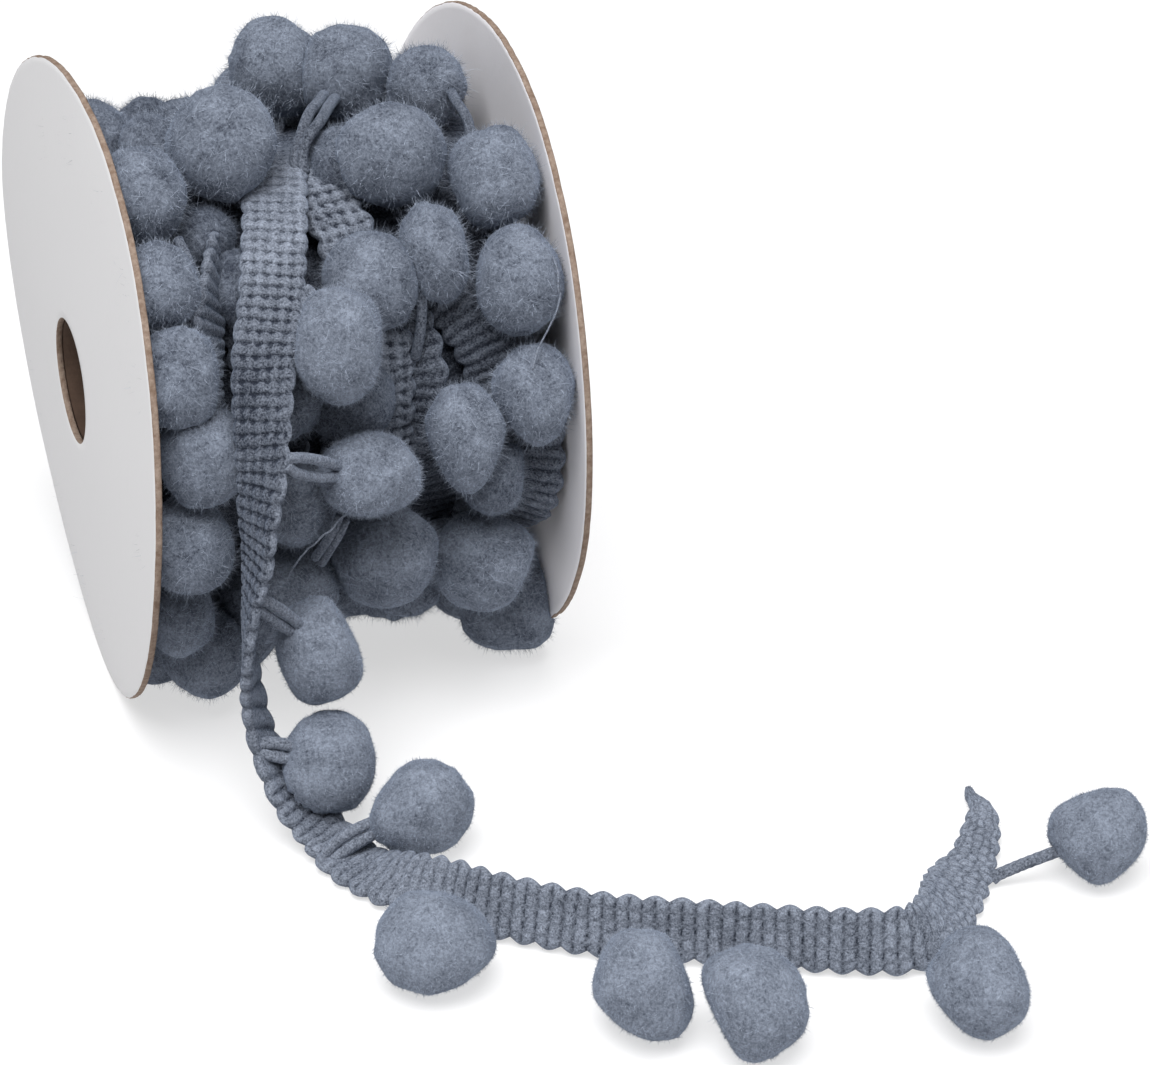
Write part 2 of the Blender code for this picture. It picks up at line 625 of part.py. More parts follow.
def main():
    clear_scene()
    material = {name: make_material(name) for name in COLOURS}
    root = bpy.data.objects.new("reel_and_trim", None)
    bpy.context.scene.collection.objects.link(root)

    for name in FLANGES:
        make_flange(name, material["card"], root)
    make_core(material["kraft"], root)
    make_pack(material["braid"], root)

    loose = LooseEnd()
    on_pack = reel_pompoms()
    hanging = loose_pompoms(loose)
    press_neighbours(on_pack + hanging)
    for pompom in on_pack + hanging:
        press_on_braid(pompom, loose)
    for pompom in on_pack:
        pompom.move(press_on_flanges)
        pompom.move(press_on_pack)
        pompom.move(lambda points: press_on_floor(points, SOFT_CLEAR))
    for pompom in hanging:
        pompom.move(press_on_floor)
        pompom.rings[0] = press_on_floor(pompom.rings[0])
    make_reel_fringe(on_pack, material["felt"], root)
    make_loose_end(loose, hanging, material["braid"], material["felt"], root)
    stand_on_origin(root)


main()
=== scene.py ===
import math

import bpy
import numpy as np
from mathutils import Matrix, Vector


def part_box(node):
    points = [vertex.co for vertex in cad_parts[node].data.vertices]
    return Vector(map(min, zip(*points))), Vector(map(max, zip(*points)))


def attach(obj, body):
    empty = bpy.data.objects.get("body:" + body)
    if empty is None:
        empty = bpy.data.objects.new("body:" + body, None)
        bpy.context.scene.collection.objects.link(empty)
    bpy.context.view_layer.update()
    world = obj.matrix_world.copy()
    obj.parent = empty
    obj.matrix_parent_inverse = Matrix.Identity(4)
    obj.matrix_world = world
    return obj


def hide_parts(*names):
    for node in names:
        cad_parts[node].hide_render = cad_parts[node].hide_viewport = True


# Pompom fringe trim on a card reel. Shapes are worked out in millimetres from the reel's own
# centre line (x along the axis, angle 0 at the front, 90 on top) and written to the meshes in metres.

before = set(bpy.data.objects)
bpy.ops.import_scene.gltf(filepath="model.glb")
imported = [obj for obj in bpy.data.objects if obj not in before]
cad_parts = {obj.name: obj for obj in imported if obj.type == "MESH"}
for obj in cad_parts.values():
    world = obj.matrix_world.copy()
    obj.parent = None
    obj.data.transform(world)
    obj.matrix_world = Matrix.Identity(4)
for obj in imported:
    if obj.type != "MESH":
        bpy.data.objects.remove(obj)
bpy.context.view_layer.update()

mm = 0.001
packLow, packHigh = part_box("wound_braid")
coreLow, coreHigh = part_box("core_tube")
reelHome = np.array([(packLow.x + packHigh.x) / 2, (coreLow.y + coreHigh.y) / 2, 0.0])
axisHeight = (coreLow.z + coreHigh.z) / 2 / mm

reel = {
    "radius": 50.0,
    "gap": 64.7,          # between the flanges' inner faces at the rim
    "card": 1.0,
    "bore": 9.7,
    "coreWall": 1.3,
    "left": {"side": -1, "bow": 1.6, "saddleUp": -0.6, "saddleSkew": -1.2, "leanY": 0.009, "leanZ": 0.011},
    "right": {"side": 1, "bow": 1.2, "saddleUp": -1.2, "saddleSkew": 0.3, "leanY": -0.005, "leanZ": 0.0},
}


def onReel(x, angle, radius):
    # a point by its place along the reel, its angle round it and its distance from the axis
    turn = np.radians(angle)
    x, turn, radius = np.broadcast_arrays(np.asarray(x, float), turn, np.asarray(radius, float))
    return np.stack([x, -radius * np.cos(turn), axisHeight + radius * np.sin(turn)], axis=-1)


def unit(vectors):
    # the same directions at a length of one
    return vectors / np.maximum(np.linalg.norm(vectors, axis=-1, keepdims=True), 1e-9)


def ripple(points, wavelength, seed, count=14):
    # a smooth random field: many plane waves of about one wavelength laid over each other, -1 to 1 or so
    chance = np.random.default_rng(seed)
    ways = unit(chance.normal(size=(count, 3)))
    lengths = wavelength * chance.uniform(0.7, 1.5, count)
    phases = chance.uniform(0, 2 * np.pi, count)
    return np.sin(points @ (ways * (2 * np.pi / lengths)[:, None]).T + phases).sum(axis=-1) / math.sqrt(count)


class Pile:
    # gathers surfaces into one mesh: points in millimetres, quads and triangles, and a tone for each point

    def __init__(self):
        self.points, self.quads, self.triangles = [], [], []
        self.tones, self.quadLooks, self.triangleLooks = [], [], []
        self.count = 0

    def add(self, points, quads=None, triangles=None, tone=0.5, look=0):
        # look is the place of the paint in the piece's list, one for all the faces or one for each
        points = np.asarray(points, float).reshape(-1, 3)
        self.points.append(points)
        self.tones.append(np.broadcast_to(np.asarray(tone, float), (len(points),)))
        for faces, corners, kept, looks in ((quads, 4, self.quads, self.quadLooks),
                                            (triangles, 3, self.triangles, self.triangleLooks)):
            if faces is not None:
                kept.append(np.asarray(faces).reshape(-1, corners) + self.count)
                looks.append(np.broadcast_to(look, (len(kept[-1]),)))
        self.count += len(points)

    def make(self, name, paints, stands=()):
        # one piece with its paints and its tones, hung from the root body; stands names the nodes that it
        # replaces
        quads = np.concatenate(self.quads)
        triangles = np.concatenate(self.triangles) if self.triangles else np.zeros((0, 3), int)
        corners = np.concatenate([quads.ravel(), triangles.ravel()])
        starts = np.concatenate([np.arange(len(quads)) * 4, len(quads) * 4 + np.arange(len(triangles)) * 3])
        looks = np.concatenate(self.quadLooks + self.triangleLooks)
        mesh = bpy.data.meshes.new(name)
        mesh.vertices.add(self.count)
        mesh.vertices.foreach_set("co", (np.concatenate(self.points) * mm + reelHome).ravel())
        mesh.loops.add(len(corners))
        mesh.loops.foreach_set("vertex_index", corners)
        mesh.polygons.add(len(starts))
        mesh.polygons.foreach_set("loop_start", starts)
        for paint in paints:
            mesh.materials.append(paint)
        mesh.polygons.foreach_set("material_index", looks)
        mesh.attributes.new("tone", "FLOAT", "POINT").data.foreach_set("value", np.concatenate(self.tones))
        mesh.update(calc_edges=True)
        mesh.validate()
        mesh.shade_smooth()
        piece = bpy.data.objects.new(name, mesh)
        bpy.context.scene.collection.objects.link(piece)
        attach(piece, "root")
        if stands:
            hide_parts(*stands)
        print(name, len(quads) * 2 + len(triangles), "triangles")
        return piece


def gridQuads(rings, around, closedRings=False):
    # quads between rings of points, each ring closed and holding the same number
    r = np.arange(rings if closedRings else rings - 1)[:, None]
    a = np.arange(around)[None]
    here, there = r * around, (r + 1) % rings * around
    after = (a + 1) % around
    corners = np.broadcast_arrays(here + a, here + after, there + after, there + a)
    return np.stack(corners, axis=-1).reshape(-1, 4)


def capFan(first, around, tip, flip):
    # triangles from a ring of points to one tip
    a = np.arange(around)
    after = (a + 1) % around
    pair = (first + after, first + a) if flip else (first + a, first + after)
    return np.stack([*pair, np.full(around, tip)], axis=1)


class Wire:
    # one socket of a material, so that the maths of a pattern can be written as sums

    def __init__(self, paint, socket):
        self.paint, self.socket = paint, socket

    def join(self, kind, left, right):
        return self.paint.node("ShaderNodeMath", {"operation": kind}, {0: left, 1: right})

    def __add__(self, other): return self.join("ADD", self, other)
    def __radd__(self, other): return self.join("ADD", other, self)
    def __sub__(self, other): return self.join("SUBTRACT", self, other)
    def __rsub__(self, other): return self.join("SUBTRACT", other, self)
    def __mul__(self, other): return self.join("MULTIPLY", self, other)
    def __rmul__(self, other): return self.join("MULTIPLY", other, self)
    def clamp(self): return self.paint.node("ShaderNodeClamp", {}, {"Value": self})


class Paint:
    # a material with one Principled shader; node() adds any other node and gives back one of its outputs

    def __init__(self, name, roughness, **constants):
        self.material = bpy.data.materials.new(name)
        self.material.use_nodes = True
        self.tree = self.material.node_tree
        self.shader = self.tree.nodes["Principled BSDF"]
        self.shader.inputs["Roughness"].default_value = roughness
        for words, value in constants.items():
            self.shader.inputs[words.replace("_", " ")].default_value = value
        self.place = self.node("ShaderNodeTexCoord", out="Object")

    def node(self, kind, settings=None, values=None, out=0):
        made = self.tree.nodes.new(kind)
        for name, value in (settings or {}).items():
            setattr(made, name, value)
        for name, value in (values or {}).items():
            if isinstance(value, Wire):
                self.tree.links.new(value.socket, made.inputs[name])
            else:
                made.inputs[name].default_value = value
        return Wire(self, made.outputs[out])

    def noise(self, scale, detail, rough, bend=0.0):
        # scale is in waves to the metre
        values = {"Vector": self.place, "Scale": scale, "Detail": detail, "Roughness": rough,
                  "Distortion": bend}
        return self.node("ShaderNodeTexNoise", {}, values, "Fac")

    def attribute(self, name):
        return self.node("ShaderNodeAttribute", {"attribute_name": name}, {}, "Fac")

    def blend(self, share, first, second):
        values = {0: share, 6: first, 7: second}
        return self.node("ShaderNodeMix", {"data_type": "RGBA", "clamp_factor": True}, values, 2)

    def feed(self, name, wire):
        self.tree.links.new(wire.socket, self.shader.inputs[name])

    def bump(self, height, depth, strength):
        values = {"Height": height, "Distance": depth, "Strength": strength}
        self.feed("Normal", self.node("ShaderNodeBump", {}, values))


bloom = {"Sheen_Roughness": 0.5, "Sheen_Tint": (0.50, 0.62, 0.85, 1)}     # of the short fibres on both yarns


def feltPaint():
    # matted yarn: its shade is the tone with fine specks, bent strands and soft clouds laid over it
    look = {"dark": (0.026, 0.031, 0.045, 1), "light": (0.325, 0.368, 0.448, 1),
            "specks": (2600, 5, 0.75), "strands": (1100, 3, 0.6, 0.6), "clouds": (230, 2, 0.5)}
    paint = Paint("feltedYarn", 0.95, Sheen_Weight=0.22, Specular_IOR_Level=0.12, **bloom)
    specks, strands, clouds = (paint.noise(*look[name]) for name in ("specks", "strands", "clouds"))
    tone = paint.attribute("tone")
    shade = (specks - 0.5) * 1.25 + (strands - 0.5) * 0.6 + (clouds - 0.5) * 0.4 + tone
    paint.feed("Base Color", paint.blend(shade.clamp(), look["dark"], look["light"]))
    paint.bump(specks * 0.6 + strands * 0.7, 0.0004, 0.4)
    return paint.material


def braidPaint():
    # knitted yarn: darker where the tone is low, which is painted shade down in the gaps and along the band,
    # with a mottle that fades there too
    # gap is the near-black colour of that painted shade, lit the yarn's colour where the stitches stand up
    look = {"gap": (0.012, 0.015, 0.024, 1), "lit": (0.345, 0.385, 0.465, 1),
            "specks": (3300, 4, 0.7), "ply": (1500, 2, 0.5, 1.2), "clouds": (150, 2, 0.5)}
    paint = Paint("knittedYarn", 0.92, Sheen_Weight=0.2, Specular_IOR_Level=0.15, **bloom)
    tone = paint.attribute("tone")
    specks, ply, clouds = (paint.noise(*look[name]) for name in ("specks", "ply", "clouds"))
    mottle = ((specks - 0.5) * 1.7 + (ply - 0.5) * 0.7) * (tone * 0.5 + 0.5)
    shade = tone * 0.55 + mottle + (clouds - 0.5) * 0.25
    paint.feed("Base Color", paint.blend(shade.clamp(), look["gap"], look["lit"]))
    paint.bump(specks * 0.6 + ply, 0.0003, 0.8)
    return paint.material


def cardPaint(name, face):
    # white-faced board: the faintest mottle of pulp and grain, and a few rubbed marks
    look = {"worn": (0.55, 0.54, 0.537, 1),
            "pulp": (700, 4, 0.65), "rubs": (55, 5, 0.7, 0.6), "grain": (130, 3, 0.6)}
    paint = Paint(name, 0.62, Specular_IOR_Level=0.3)
    pulp, rubs, grain = (paint.noise(*look[name]) for name in ("pulp", "rubs", "grain"))
    shade = ((rubs - 0.60) * 0.8).clamp() + (pulp - 0.5) * 0.12 + (grain - 0.5) * 0.10
    paint.feed("Base Color", paint.blend(shade.clamp(), face, look["worn"]))
    paint.bump(pulp * 0.5 + grain, 0.00008, 0.6)
    return paint.material


def boardPaint():
    # the bare brown edge of the board, with its layers and torn fibres
    look = {"brown": (0.155, 0.106, 0.078, 1), "pale": (0.43, 0.355, 0.30, 1),
            "torn": (1100, 4, 0.7), "layers": (300, 2, 0.6)}
    paint = Paint("boardEdge", 0.9, Specular_IOR_Level=0.15)
    torn, layers = (paint.noise(*look[name]) for name in ("torn", "layers"))
    shade = (torn - 0.35) * 1.3 + (layers - 0.5) * 0.5
    paint.feed("Base Color", paint.blend(shade.clamp(), look["brown"], look["pale"]))
    paint.bump(torn, 0.0003, 0.8)
    return paint.material


def tubePaint():
    # the brown tube inside the reel, with the grain of its pulp
    look = {"dark": (0.034, 0.020, 0.014, 1), "pale": (0.088, 0.056, 0.040, 1), "pulp": (500, 4, 0.65)}
    paint = Paint("brownTube", 0.85, Specular_IOR_Level=0.2)
    pulp = paint.noise(*look["pulp"])
    paint.feed("Base Color", paint.blend(pulp, look["dark"], look["pale"]))
    paint.bump(pulp, 0.0002, 0.6)
    return paint.material


felt = feltPaint()
yarn = braidPaint()
# one and the same white card: the left flange's face is painted darker, painted shade, and the right's
# lighter, painted light
cards = {
    -1: cardPaint("paintedShadeCard", (0.60, 0.596, 0.604, 1)),
    1: cardPaint("paintedLightCard", (0.80, 0.785, 0.81, 1)),
}
boardEdge = boardPaint()
brownTube = tubePaint()
print("paints mixed")


def flangeFace(warp, y, z):
    # inner face of a warped flange along x: an outward bow, a saddle and two leans
    share = (y * y + z * z) / reel["radius"] ** 2
    theta = np.arctan2(z, y)
    saddle = warp["saddleUp"] * np.cos(2 * theta) + warp["saddleSkew"] * np.sin(2 * theta)
    flat = warp["side"] * (reel["gap"] / 2 + warp["bow"] * (1 - share))
    return flat + share * saddle + warp["leanY"] * y + warp["leanZ"] * z


clear = {
    "card": 0.15,         # kept from a flange's inner face
    "wide": 40.0,         # further along the axis than this lies past the reel
    "pack": 31.5,         # nothing comes nearer the axis
    "floor": 0.05,
}


def settle(points):
    # x is held between the flanges, the distance from the axis out of the pack, and z above the surface
    y, z = points[..., 1], points[..., 2] - axisHeight
    radius = np.hypot(y, z)
    inside = radius < reel["radius"]
    left = np.where(inside, flangeFace(reel["left"], y, z) + clear["card"], -1e3)
    right = np.where(inside, flangeFace(reel["right"], y, z) - clear["card"], 1e3)
    near = (points[..., 0] > -clear["wide"]) & (points[..., 0] < clear["wide"])
    x = np.where(near, np.clip(points[..., 0], left, right), points[..., 0])
    grow = np.maximum(1.0, clear["pack"] / np.maximum(radius, 1e-6))
    return np.stack([x, y * grow, np.maximum(z * grow + axisHeight, clear["floor"])], axis=-1)


def makeFlange(name, warp, seed, node):
    # a profile turned round the axis: rim and bore are rounded over, the rim is a little frayed, and the
    # faces are smooth but for a slight cockle
    look = {"around": 240, "rings": 15, "round": 0.16, "fray": 0.10, "frayWave": 2.2,
            "cockle": 0.05, "cockleWave": 24.0}
    soft, bore, rim, thick = look["round"], reel["bore"], reel["radius"], reel["card"]
    across = np.concatenate([[bore + soft], np.linspace(bore + 1.5, rim - 1.2, look["rings"]), [rim - soft]])
    inner = [(r, 0.0) for r in across]
    edge = [(rim, soft), (rim + 0.02, thick * 0.35), (rim + 0.02, thick * 0.65), (rim, thick - soft)]
    outer = [(r, thick) for r in across[::-1]]
    hole = [(bore, thick - soft), (bore, thick / 2), (bore, soft)]
    profile = np.array(inner + edge + outer + hole)
    radius, out = profile[:, :1], profile[:, 1:]
    angle = np.arange(look["around"]) * 2 * np.pi / look["around"]
    rimPoints = np.stack([np.zeros_like(angle), rim * np.cos(angle), rim * np.sin(angle)], axis=-1)
    fray = np.abs(look["fray"] * ripple(rimPoints, look["frayWave"], seed) * (np.abs(radius - rim) < 0.3))
    y, z = (radius - fray) * np.cos(angle), np.maximum((radius - fray) * np.sin(angle), -axisHeight)
    cockle = look["cockle"] * ripple(np.stack([0 * y, y, z], axis=-1), look["cockleWave"], seed + 1)
    x = flangeFace(warp, y, z) + warp["side"] * out + cockle
    quads = gridQuads(len(profile), look["around"], closedRings=True)
    if warp["side"] > 0:
        quads = quads[:, ::-1]
    bare = np.zeros(len(profile), int)
    bare[len(inner) - 1:len(inner) + len(edge)] = 1
    bare[-len(hole) - 1:] = 1
    pile = Pile()
    pile.add(np.stack([x, y, z + axisHeight], axis=-1), quads, look=np.repeat(bare, look["around"]))
    pile.make(name, [cards[warp["side"]], boardEdge], [node])


def makeCore():
    # a closed profile turned round the axis, from one flange's face to the other's
    look = {"around": 120, "rings": 12, "gap": 0.03}
    bore, outer = reel["bore"], reel["bore"] + reel["coreWall"]
    left = flangeFace(reel["left"], 0.0, bore) + look["gap"]
    right = flangeFace(reel["right"], 0.0, bore) - look["gap"]
    lining = [(x, bore) for x in np.linspace(left, right, look["rings"])]
    profile = np.array(lining + [(right, outer), (left, outer)])
    angle = np.arange(look["around"]) * 360 / look["around"]
    points = onReel(profile[:, :1], angle[None], profile[:, 1:])
    pile = Pile()
    pile.add(points, gridQuads(len(profile), look["around"], closedRings=True))
    pile.make("cardTube", [brownTube], ["core_tube"])


makeFlange("cardFlangeLeft", reel["left"], 31, "flange_left")
makeFlange("cardFlangeRight", reel["right"], 47, "flange_right")
makeCore()


braid = {
    "half": 5.0,          # half its width, picots included
    "loop": 3.75,         # from one picot to the next
    "dip": 0.85,          # how far the edge draws in between two picots
    "rib": 1.875,         # one row of stitches
    "stitch": 1.88,       # one stitch across
    "thick": 0.50,        # half thickness down in the gaps
    "raise": 0.50,        # height of a stitch
    "uneven": 0.20,       # how much one stitch may differ from the next
    "edge": (0.86, 0.96), # share of the half width where the edge begins and where it is full
}

looseEndRows = [
    # x, y, z, heading, rise, share
    (0.4, 0.0, 83.2, 180, 0, 0.35), (-2.4, -7.5, 85.1, 180, 0, 0.78), (-5.2, -15.5, 86.1, 178, 0, 1.0),
    (-8.7, -27.0, 82.5, 172, 0, 1.0), (-12.3, -36.5, 75.9, 165, 0, 1.0), (-15.3, -42.7, 70.9, 148, 0, 1.0),
    (-17.1, -47.1, 65.7, 136, 0, 1.0), (-18.2, -49.9, 60.8, 128, 0, 1.0), (-19.2, -52.5, 55.9, 118, 0, 1.0),
    (-20.5, -54.0, 50.4, 108, 0, 1.0), (-21.0, -54.5, 44.2, 97, 0, 1.0), (-22.2, -54.8, 38.0, 83, 0, 1.0),
    (-23.1, -55.0, 29.9, 73, 0, 1.0), (-22.6, -55.4, 19.6, 52, -31, 1.0), (-21.1, -57.0, 12.2, 42, -25, 1.0),
    (-18.5, -60.8, 5.8, 33, -10, 1.0), (-15.3, -66.0, 2.3, 24, -2, 1.0), (-13.2, -73.5, 1.6, 22, 5, 1.0),
    (-8.8, -83.4, 3.9, 36, 35, 1.0), (-3.8, -90.1, 4.9, 46, 57, 1.0), (1.0, -95.6, 5.3, 52, 69, 1.0),
    (12.3, -104.6, 5.3, 57, 74, 1.0), (24.7, -111.3, 5.4, 62, 77, 1.0), (37.2, -117.8, 5.4, 64, 76, 1.0),
    (46.6, -122.1, 5.4, 72, 72, 1.0), (52.8, -122.9, 5.0, 100, 60, 1.0), (58.4, -119.2, 4.4, 130, 45, 1.0),
    (63.6, -112.8, 3.1, 138, 24, 1.0), (67.8, -107.6, 2.1, 141, 9, 0.92), (71.4, -103.8, 1.6, 149, 3, 0.74),
    (74.4, -99.7, 1.5, 155, 0, 0.66), (77.1, -95.4, 1.7, 159, 0, 0.54), (78.3, -92.6, 1.9, 160, 0, 0.38),
    (78.4, -90.1, 1.6, 158, 0, 0.21), (78.6, -88.2, 1.5, 150, 0, 0.15), (79.0, -86.9, 1.4, 145, 0, 0.11),
]


def smoothPath(rows, step):
    # a cubic through the rows' first three columns, with slopes from the rows on each side, read every
    # step of its length; the other columns go with it
    rows = np.array(rows, float)
    before = np.vstack([2 * rows[0] - rows[1], rows[:-1]])
    after = np.vstack([rows[1:], 2 * rows[-1] - rows[-2]])
    slope = (after - before) / 2
    t = np.linspace(0, 1, 24, endpoint=False)[:, None]
    spans = [(2 * t**3 - 3 * t**2 + 1) * rows[k] + (t**3 - 2 * t**2 + t) * slope[k]
             + (3 * t**2 - 2 * t**3) * rows[k + 1] + (t**3 - t**2) * slope[k + 1]
             for k in range(len(rows) - 1)]
    curve = np.vstack(spans + [rows[-1:]])
    run = np.concatenate([[0], np.cumsum(np.linalg.norm(np.diff(curve[:, :3], axis=0), axis=1))])
    stops = np.arange(0, run[-1], step)
    return stops, np.stack([np.interp(stops, run, column) for column in curve.T], axis=1)


class Ribbon:
    # a middle line with its direction, its across and its face at every stop; skew is how much of the across
    # stays as given, where it isn't square to the line

    def __init__(self, stops, middle, across, share, skew=0.0):
        self.stops, self.middle, self.share = stops, middle, share
        self.along = unit(np.gradient(middle, axis=0))
        square = unit(across - self.along * (across * self.along).sum(axis=1, keepdims=True))
        self.across = unit(square + np.reshape(skew, (-1, 1)) * (across - square))
        self.face = np.cross(self.along, square)

    def at(self, distance):
        return int(np.argmin(np.abs(self.stops - distance)))

    def place(self, stop, across, face):
        return self.middle[stop] + self.share[stop] * across * self.across[stop] + face * self.face[stop]


def looseRibbon(step):
    # heading and rise give the across; the band is pulled askew where it swings out to the surface, and
    # lifted where its lower edge would pass through it
    stops, rows = smoothPath(looseEndRows, step)
    heading, rise = np.radians(rows[:, 3]), np.radians(rows[:, 4])
    across = np.stack([np.cos(rise) * np.cos(heading), np.cos(rise) * np.sin(heading), np.sin(rise)], axis=1)
    pulled = ramp(94, 100, stops) * (1 - ramp(113, 120, stops))
    ribbon = Ribbon(stops, rows[:, :3], across, rows[:, 5], pulled)
    reach = braid["half"] * ribbon.share * np.abs(ribbon.across[:, 2]) + np.abs(ribbon.face[:, 2])
    ribbon.middle[:, 2] += np.maximum(0.0, reach - ribbon.middle[:, 2])
    return ribbon


def hump(phase, power):
    # a row of rounded cushions, 0 in the gaps and 1 on top, one for each whole number of phase
    return 1 - np.abs(2 * (phase - np.floor(phase)) - 1) ** power


def ramp(low, high, value):
    # 0 below low, 1 above high and smooth between
    t = np.clip((value - low) / (high - low), 0, 1)
    return t * t * (3 - 2 * t)


def lot(row, column, seed):
    # one random number from 0 to 1 for each stitch
    return np.abs(np.sin(np.floor(row) * 12.99 + np.floor(column) * 78.23 + seed) * 4375.85) % 1


def toothed(row, column):
    # the right side of the knit: pointed stitches that overlap the row before, with dark notches between tips
    tip = 1 - np.abs(2 * (column - np.floor(column)) - 1)
    along = row - np.floor(row)
    start = 0.34 * (1 - tip)
    stitch = ramp(start - 0.03, start + 0.17, along) * (1 - 0.5 * (1 - tip) * ramp(0.86, 1.0, along))
    return np.maximum(stitch, 0.5 * tip**3) * (0.62 + 0.38 * hump(column, 2.0) ** 0.7)


def tiled(row, column):
    # the wrong side: flat tiles with short deep slots between rows, bridged where two columns meet
    bridge = (1 - hump(column, 2.6)) ** 0.8
    return np.maximum(hump(row, 3.8), bridge) * (0.68 + 0.32 * hump(column, 4.0))


def knobbly(row, column):
    # slack and pushed together, the stitches stand as round bumps with dark specks between them
    return (hump(row + 0.5 * (np.floor(column) % 2), 2.4) * hump(column, 2.4)) ** 0.48


def ribbed(row, column):
    # stretched round a bend, the rows open into rungs with hardly a mark along them
    return hump(row, 2.3) * (0.88 + 0.12 * hump(column, 3.0))


def lobed(row, column):
    # drawn together beside the bend, two rows swell into one lobe that ends in a picot
    return 1 - (1 - hump(row / 2, 2.6)) * (0.4 + 0.6 * ramp(-2.2, 0.5, column))


def knit(pile, ribbon, cells, seed, faces=(tiled, toothed), paintedShade=1.0, relief=1.0, looped=1.0, wander=0.07,
         zones=(), keep=None):
    # a flat tube round the ribbon: its faces stand out by the thickness and the height of the stitch, its
    # edges round over and draw in between the picots; zones are shares of other stitches along the stops;
    # its tone is painted shade, low down in the gaps and scaled by the painted shade given along it
    side = np.linspace(-1, 1, cells + 1)
    across = np.concatenate([side, side[-2:0:-1]])
    up = np.concatenate([np.ones(cells + 1), -np.ones(cells - 1)])
    stops = ribbon.stops[:, None]
    relief, looped, paintedShade, wander = (np.broadcast_to(value, ribbon.stops.shape)[:, None]
                                   for value in (relief, looped, paintedShade, wander))
    picot = np.abs(np.sin(np.pi * stops / braid["loop"])) ** 1.1
    drawn = looped * braid["dip"] * (1 - picot) + 0.2 * (1 - looped) * (1 - hump(stops / braid["rib"], 3.0))
    inward = np.sign(across) * drawn * ramp(0.6, 1.0, np.abs(across))
    reach = (across * braid["half"] - inward) * ribbon.share[:, None]
    spots = np.stack(np.broadcast_arrays(stops, across * 5, up), axis=-1)
    column = across * braid["half"] / braid["stitch"] + 0.5 + wander * ripple(spots, 4.0, seed)
    row = stops / braid["rib"] + wander * ripple(spots, 5.0, seed + 1)
    stitch = np.where(up > 0, faces[0](row, column), faces[1](row, column))
    for share, face in zones:
        stitch = stitch + share[:, None] * (face(row, column) - stitch)
    stitch = stitch * (1 - braid["uneven"] + braid["uneven"] * lot(row, column, seed))
    edge = ramp(*braid["edge"], np.abs(across))
    lobes = 1 - looped * (1 - picot)
    stitch = stitch * (1 - edge) + edge * (0.45 + 0.55 * lobes) * (0.70 + 0.30 * hump(row, 4.0))
    stitch = 1 - relief * (1 - stitch)
    rounding = np.sqrt(np.clip(1 - np.abs(across) ** 9, 0, 1)) * (1 - 0.30 * edge)
    height = up * rounding * (braid["thick"] + braid["raise"] * stitch)
    # painted shade: the tone falls with the stitch's height into the gaps and with the painted shade given
    # along the band; the picot edges keep less of the latter
    shade = paintedShade + 0.6 * edge * looped * np.maximum(1 - paintedShade, 0)
    tone = np.clip((0.04 + 0.96 * stitch) * (0.84 + 0.20 * lot(row, column, seed + 5)) * shade, 0, 1)
    points = (ribbon.middle[:, None] + reach[..., None] * ribbon.across[:, None]
              + height[..., None] * ribbon.face[:, None])
    points = keep(points) if keep else points
    ends = np.stack([points[0].mean(axis=0), points[-1].mean(axis=0)])
    tones = np.concatenate([tone.ravel(), [0.4, 0.4]])
    addRings(pile, points, ends, tones)
    return points


def addRings(pile, points, ends, tones, look=0):
    # rings of points joined by quads and closed by a fan to each of the two ends
    rings, around = points.shape[:2]
    fans = np.concatenate([capFan(0, around, rings * around, True),
                           capFan((rings - 1) * around, around, rings * around + 1, False)])
    pile.add(np.concatenate([points.reshape(-1, 3), ends]), gridQuads(rings, around), fans, tones, look)


def addFuzz(pile, points, away):
    # short straight hairs from random points of a surface, each one thin triangle
    look = {"count": 9000, "length": 0.55, "half": 0.022, "stray": 0.9, "seed": 61}
    count = look["count"]
    chance = np.random.default_rng(look["seed"])
    pick = chance.integers(0, len(points), count)
    out = unit(away[pick] + look["stray"] * chance.normal(size=(count, 3)))
    foot = points[pick] + 0.1 * chance.normal(size=(count, 3))
    side = unit(np.cross(out, chance.normal(size=(count, 3)))) * look["half"]
    tip = foot + out * (look["length"] * chance.uniform(0.35, 1.0, count))[:, None]
    corners = np.stack([foot - side, foot + side, tip], axis=1)
    corners[..., 2] = np.maximum(corners[..., 2], 0.02)
    tones = np.repeat(chance.uniform(0.5, 1.0, count), 3)
    pile.add(corners, triangles=np.arange(count * 3), tone=tones)


looseEnd = {
    "cells": 36,          # points across its width
    "steps": 8,           # and along one row of stitches
    "seed": 5,
    # stops along it in millimetres, and the value at each
    "along": {
        "relief": ([0, 22, 45, 126, 134, 150, 158, 220, 228], [0.5, 0.5, 1, 1, 0.7, 0.7, 1, 1, 0.75]),
        "wander": ([0, 120, 128, 146, 154, 218, 226], [0.06, 0.06, 0.15, 0.15, 0.05, 0.05, 0.22]),
        "looped": ([0, 55, 75], [0.42, 0.45, 1.0]),          # the picots open where it hangs free
        # painted shade where it leaves the pack and where it hangs in the middle, and painted light towards
        # the tip
        "paintedShade": ([0, 11, 17, 30, 44, 56, 95, 115, 142, 160, 220, 230],
                [0.4, 0.4, 1.0, 1.0, 0.76, 0.40, 0.45, 0.88, 0.88, 0.98, 0.98, 1.14]),
    },
    "zones": [(([221, 228], [0.0, 1.0]), knobbly), (([95, 100, 112, 118], [0.0, 1.0, 1.0, 0.0]), lobed)],
}
loose = looseRibbon(braid["rib"] / looseEnd["steps"])


